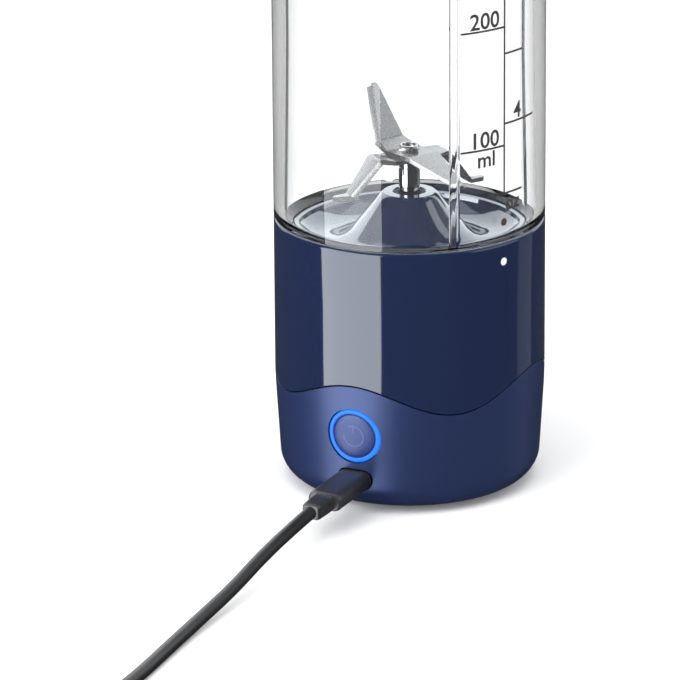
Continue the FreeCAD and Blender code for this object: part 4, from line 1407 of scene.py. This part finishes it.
def makeLoopPins():
    rivets = []
    for side in (-1, 1):
        (shank, shankLong, shankX), (head, headLong, headX) = loop["shank"], loop["head"]
        rivets.append(pin("shank", shank, shankLong, (side * shankX, 0, lid["loopZ"]), "X", 40))
        rivets.append(eased(pin("head", head, headLong, (side * headX, 0, lid["loopZ"]), "X", 48), 0.3, 3))
    dress(smoothed(joined("loopPins", rivets)), "lid", "zinc_screw", "loop_pins")


makeLid()
makeFlipCap()
makeLoop()
makeLoopPins()
print("lid made")

# floor, reflected panels and lights

studio = {
    "ambient": 0.62,
    "backdrop": 1.0,
    "dark": 0.05,
    "insideWall": 0.56,
    "floorGlow": 0.1,
    "floorTones": ((0.88, 0.88, 0.885), (0.9, 0.9, 0.9)),
    "panelColour": (0.93, 0.97, 1.0),
    # name: azimuth from the camera, width, low, high, strength, distance
    "panels": {
        "leftPanel": (-51, 1.33, -0.9, 1.1, 5.9, 1.3),
        "rightPanel": (114, 0.5, -0.9, 1.1, 0.3, 1.3),
        "sidePanel": (82, 1.3, 0.12, 1.5, 1.35, 1.3),
        "backPanel": (180, 4.4, 0.05, 2.6, 1.9, 1.6),
    },
    "topPanel": {"back": 0.32, "size": (1.6, 0.8), "height": 1.3, "strength": 0.8},
    # name: azimuth from the camera, elevation, distance, size, power
    "lights": {
        "keyLight": (-52, 32, 1.2, (0.9, 0.9), 11),
        "topLight": (10, 78, 1.3, (1.2, 1.2), 12),
        "sideLight": (112, 24, 1.3, (0.5, 0.9), 4),
    },
}


def makeFloor():
    # darker where it is only seen mirrored, so that it doesn't veil what stands behind a wall
    clearSelection()
    bpy.ops.mesh.primitive_plane_add(size=30)
    ground = fresh("studioFloor")
    material, tree, shader, place = newMaterial("paleFloor")
    tint = mixColour(tree, noiseNode(tree, place, 3.0, 2.0), *studio["floorTones"])
    mirrored = mathNode(tree, "GREATER_THAN", addNode(tree, "LightPath").outputs["Glossy Depth"], 0.5)
    shade = mixColour(tree, mirrored, tint, [studio["insideWall"] * 0.9] * 3)
    feed(tree, shader, {"Base Color": shade, "Roughness": 0.9, "Specular IOR Level": 0.0,
                        "Emission Color": mixColour(tree, mirrored, (1, 1, 1), (0, 0, 0)),
                        "Emission Strength": studio["floorGlow"]})
    ground.data.materials.append(material)
    ground.visible_glossy = False


def reflectedPanel(name, location, tilt, turn, size, strength):
    # seen only in reflections: the crisp bright bands on the glossy shells
    clearSelection()
    bpy.ops.mesh.primitive_plane_add(size=1)
    panel = fresh(name)
    panel.scale = (*size, 1)
    panel.rotation_euler = (math.radians(tilt), 0, math.radians(shot["azimuth"] + turn))
    panel.location = location
    material = bpy.data.materials.new(name)
    material.use_nodes = True
    tree = material.node_tree
    glow = addNode(tree, "Emission", {"Strength": strength, "Color": studio["panelColour"]})
    feed(tree, tree.nodes["Material Output"], {"Surface": glow.outputs[0]})
    panel.data.materials.append(material)
    panel.visible_camera = panel.visible_diffuse = panel.visible_transmission = panel.visible_shadow = False


def makePanels():
    for name, (side, width, low, high, strength, distance) in studio["panels"].items():
        location = sideways(side) * distance + Vector((0, 0, (low + high) / 2))
        reflectedPanel(name, location, 90, side, (width, high - low), strength)
    top = studio["topPanel"]
    location = sideways(180) * top["back"] + Vector((0, 0, top["height"]))
    reflectedPanel("topPanel", location, 0, 0, top["size"], top["strength"])


def makeLights():
    for name, (side, elevation, distance, size, power) in studio["lights"].items():
        way = sideways(side, elevation)
        bpy.ops.object.light_add(type="AREA", location=way * distance)
        light = bpy.context.object
        light.name = name
        light.rotation_mode = "QUATERNION"
        light.rotation_quaternion = way.to_track_quat("Z", "Y")
        light.data.shape = "RECTANGLE"
        light.data.size, light.data.size_y = size
        light.data.energy = power
        light.visible_camera = light.visible_glossy = light.visible_transmission = False


def makeWorld():
    # white where it is seen, dark in the shells' gloss, in between inside the cup's own wall
    world = bpy.data.worlds.new("studioWorld")
    bpy.context.scene.world = world
    world.use_nodes = True
    tree = world.node_tree
    path = addNode(tree, "LightPath").outputs
    ambient, backdrop = studio["ambient"], studio["backdrop"]
    seen = mathNode(tree, "MAXIMUM", path["Is Camera Ray"], path["Is Transmission Ray"])
    unseen = mathNode(tree, "SUBTRACT", 1.0, seen)
    mirrored = mathNode(tree, "MULTIPLY", path["Is Glossy Ray"], unseen)
    inWall = mathNode(tree, "MULTIPLY", mathNode(tree, "GREATER_THAN", path["Glossy Depth"], 0.5), seen)
    strength = ambient
    for share, change in ((seen, backdrop - ambient), (mirrored, studio["dark"] - ambient),
                          (inWall, studio["insideWall"] - backdrop)):
        strength = mathNode(tree, "ADD", mathNode(tree, "MULTIPLY", share, change), strength)
    feed(tree, tree.nodes["Background"], {"Color": (1, 1, 1), "Strength": strength})


makeFloor()
makePanels()
makeLights()
makeWorld()
bpy.context.scene.view_settings.view_transform = "Standard"
print("studio lit")
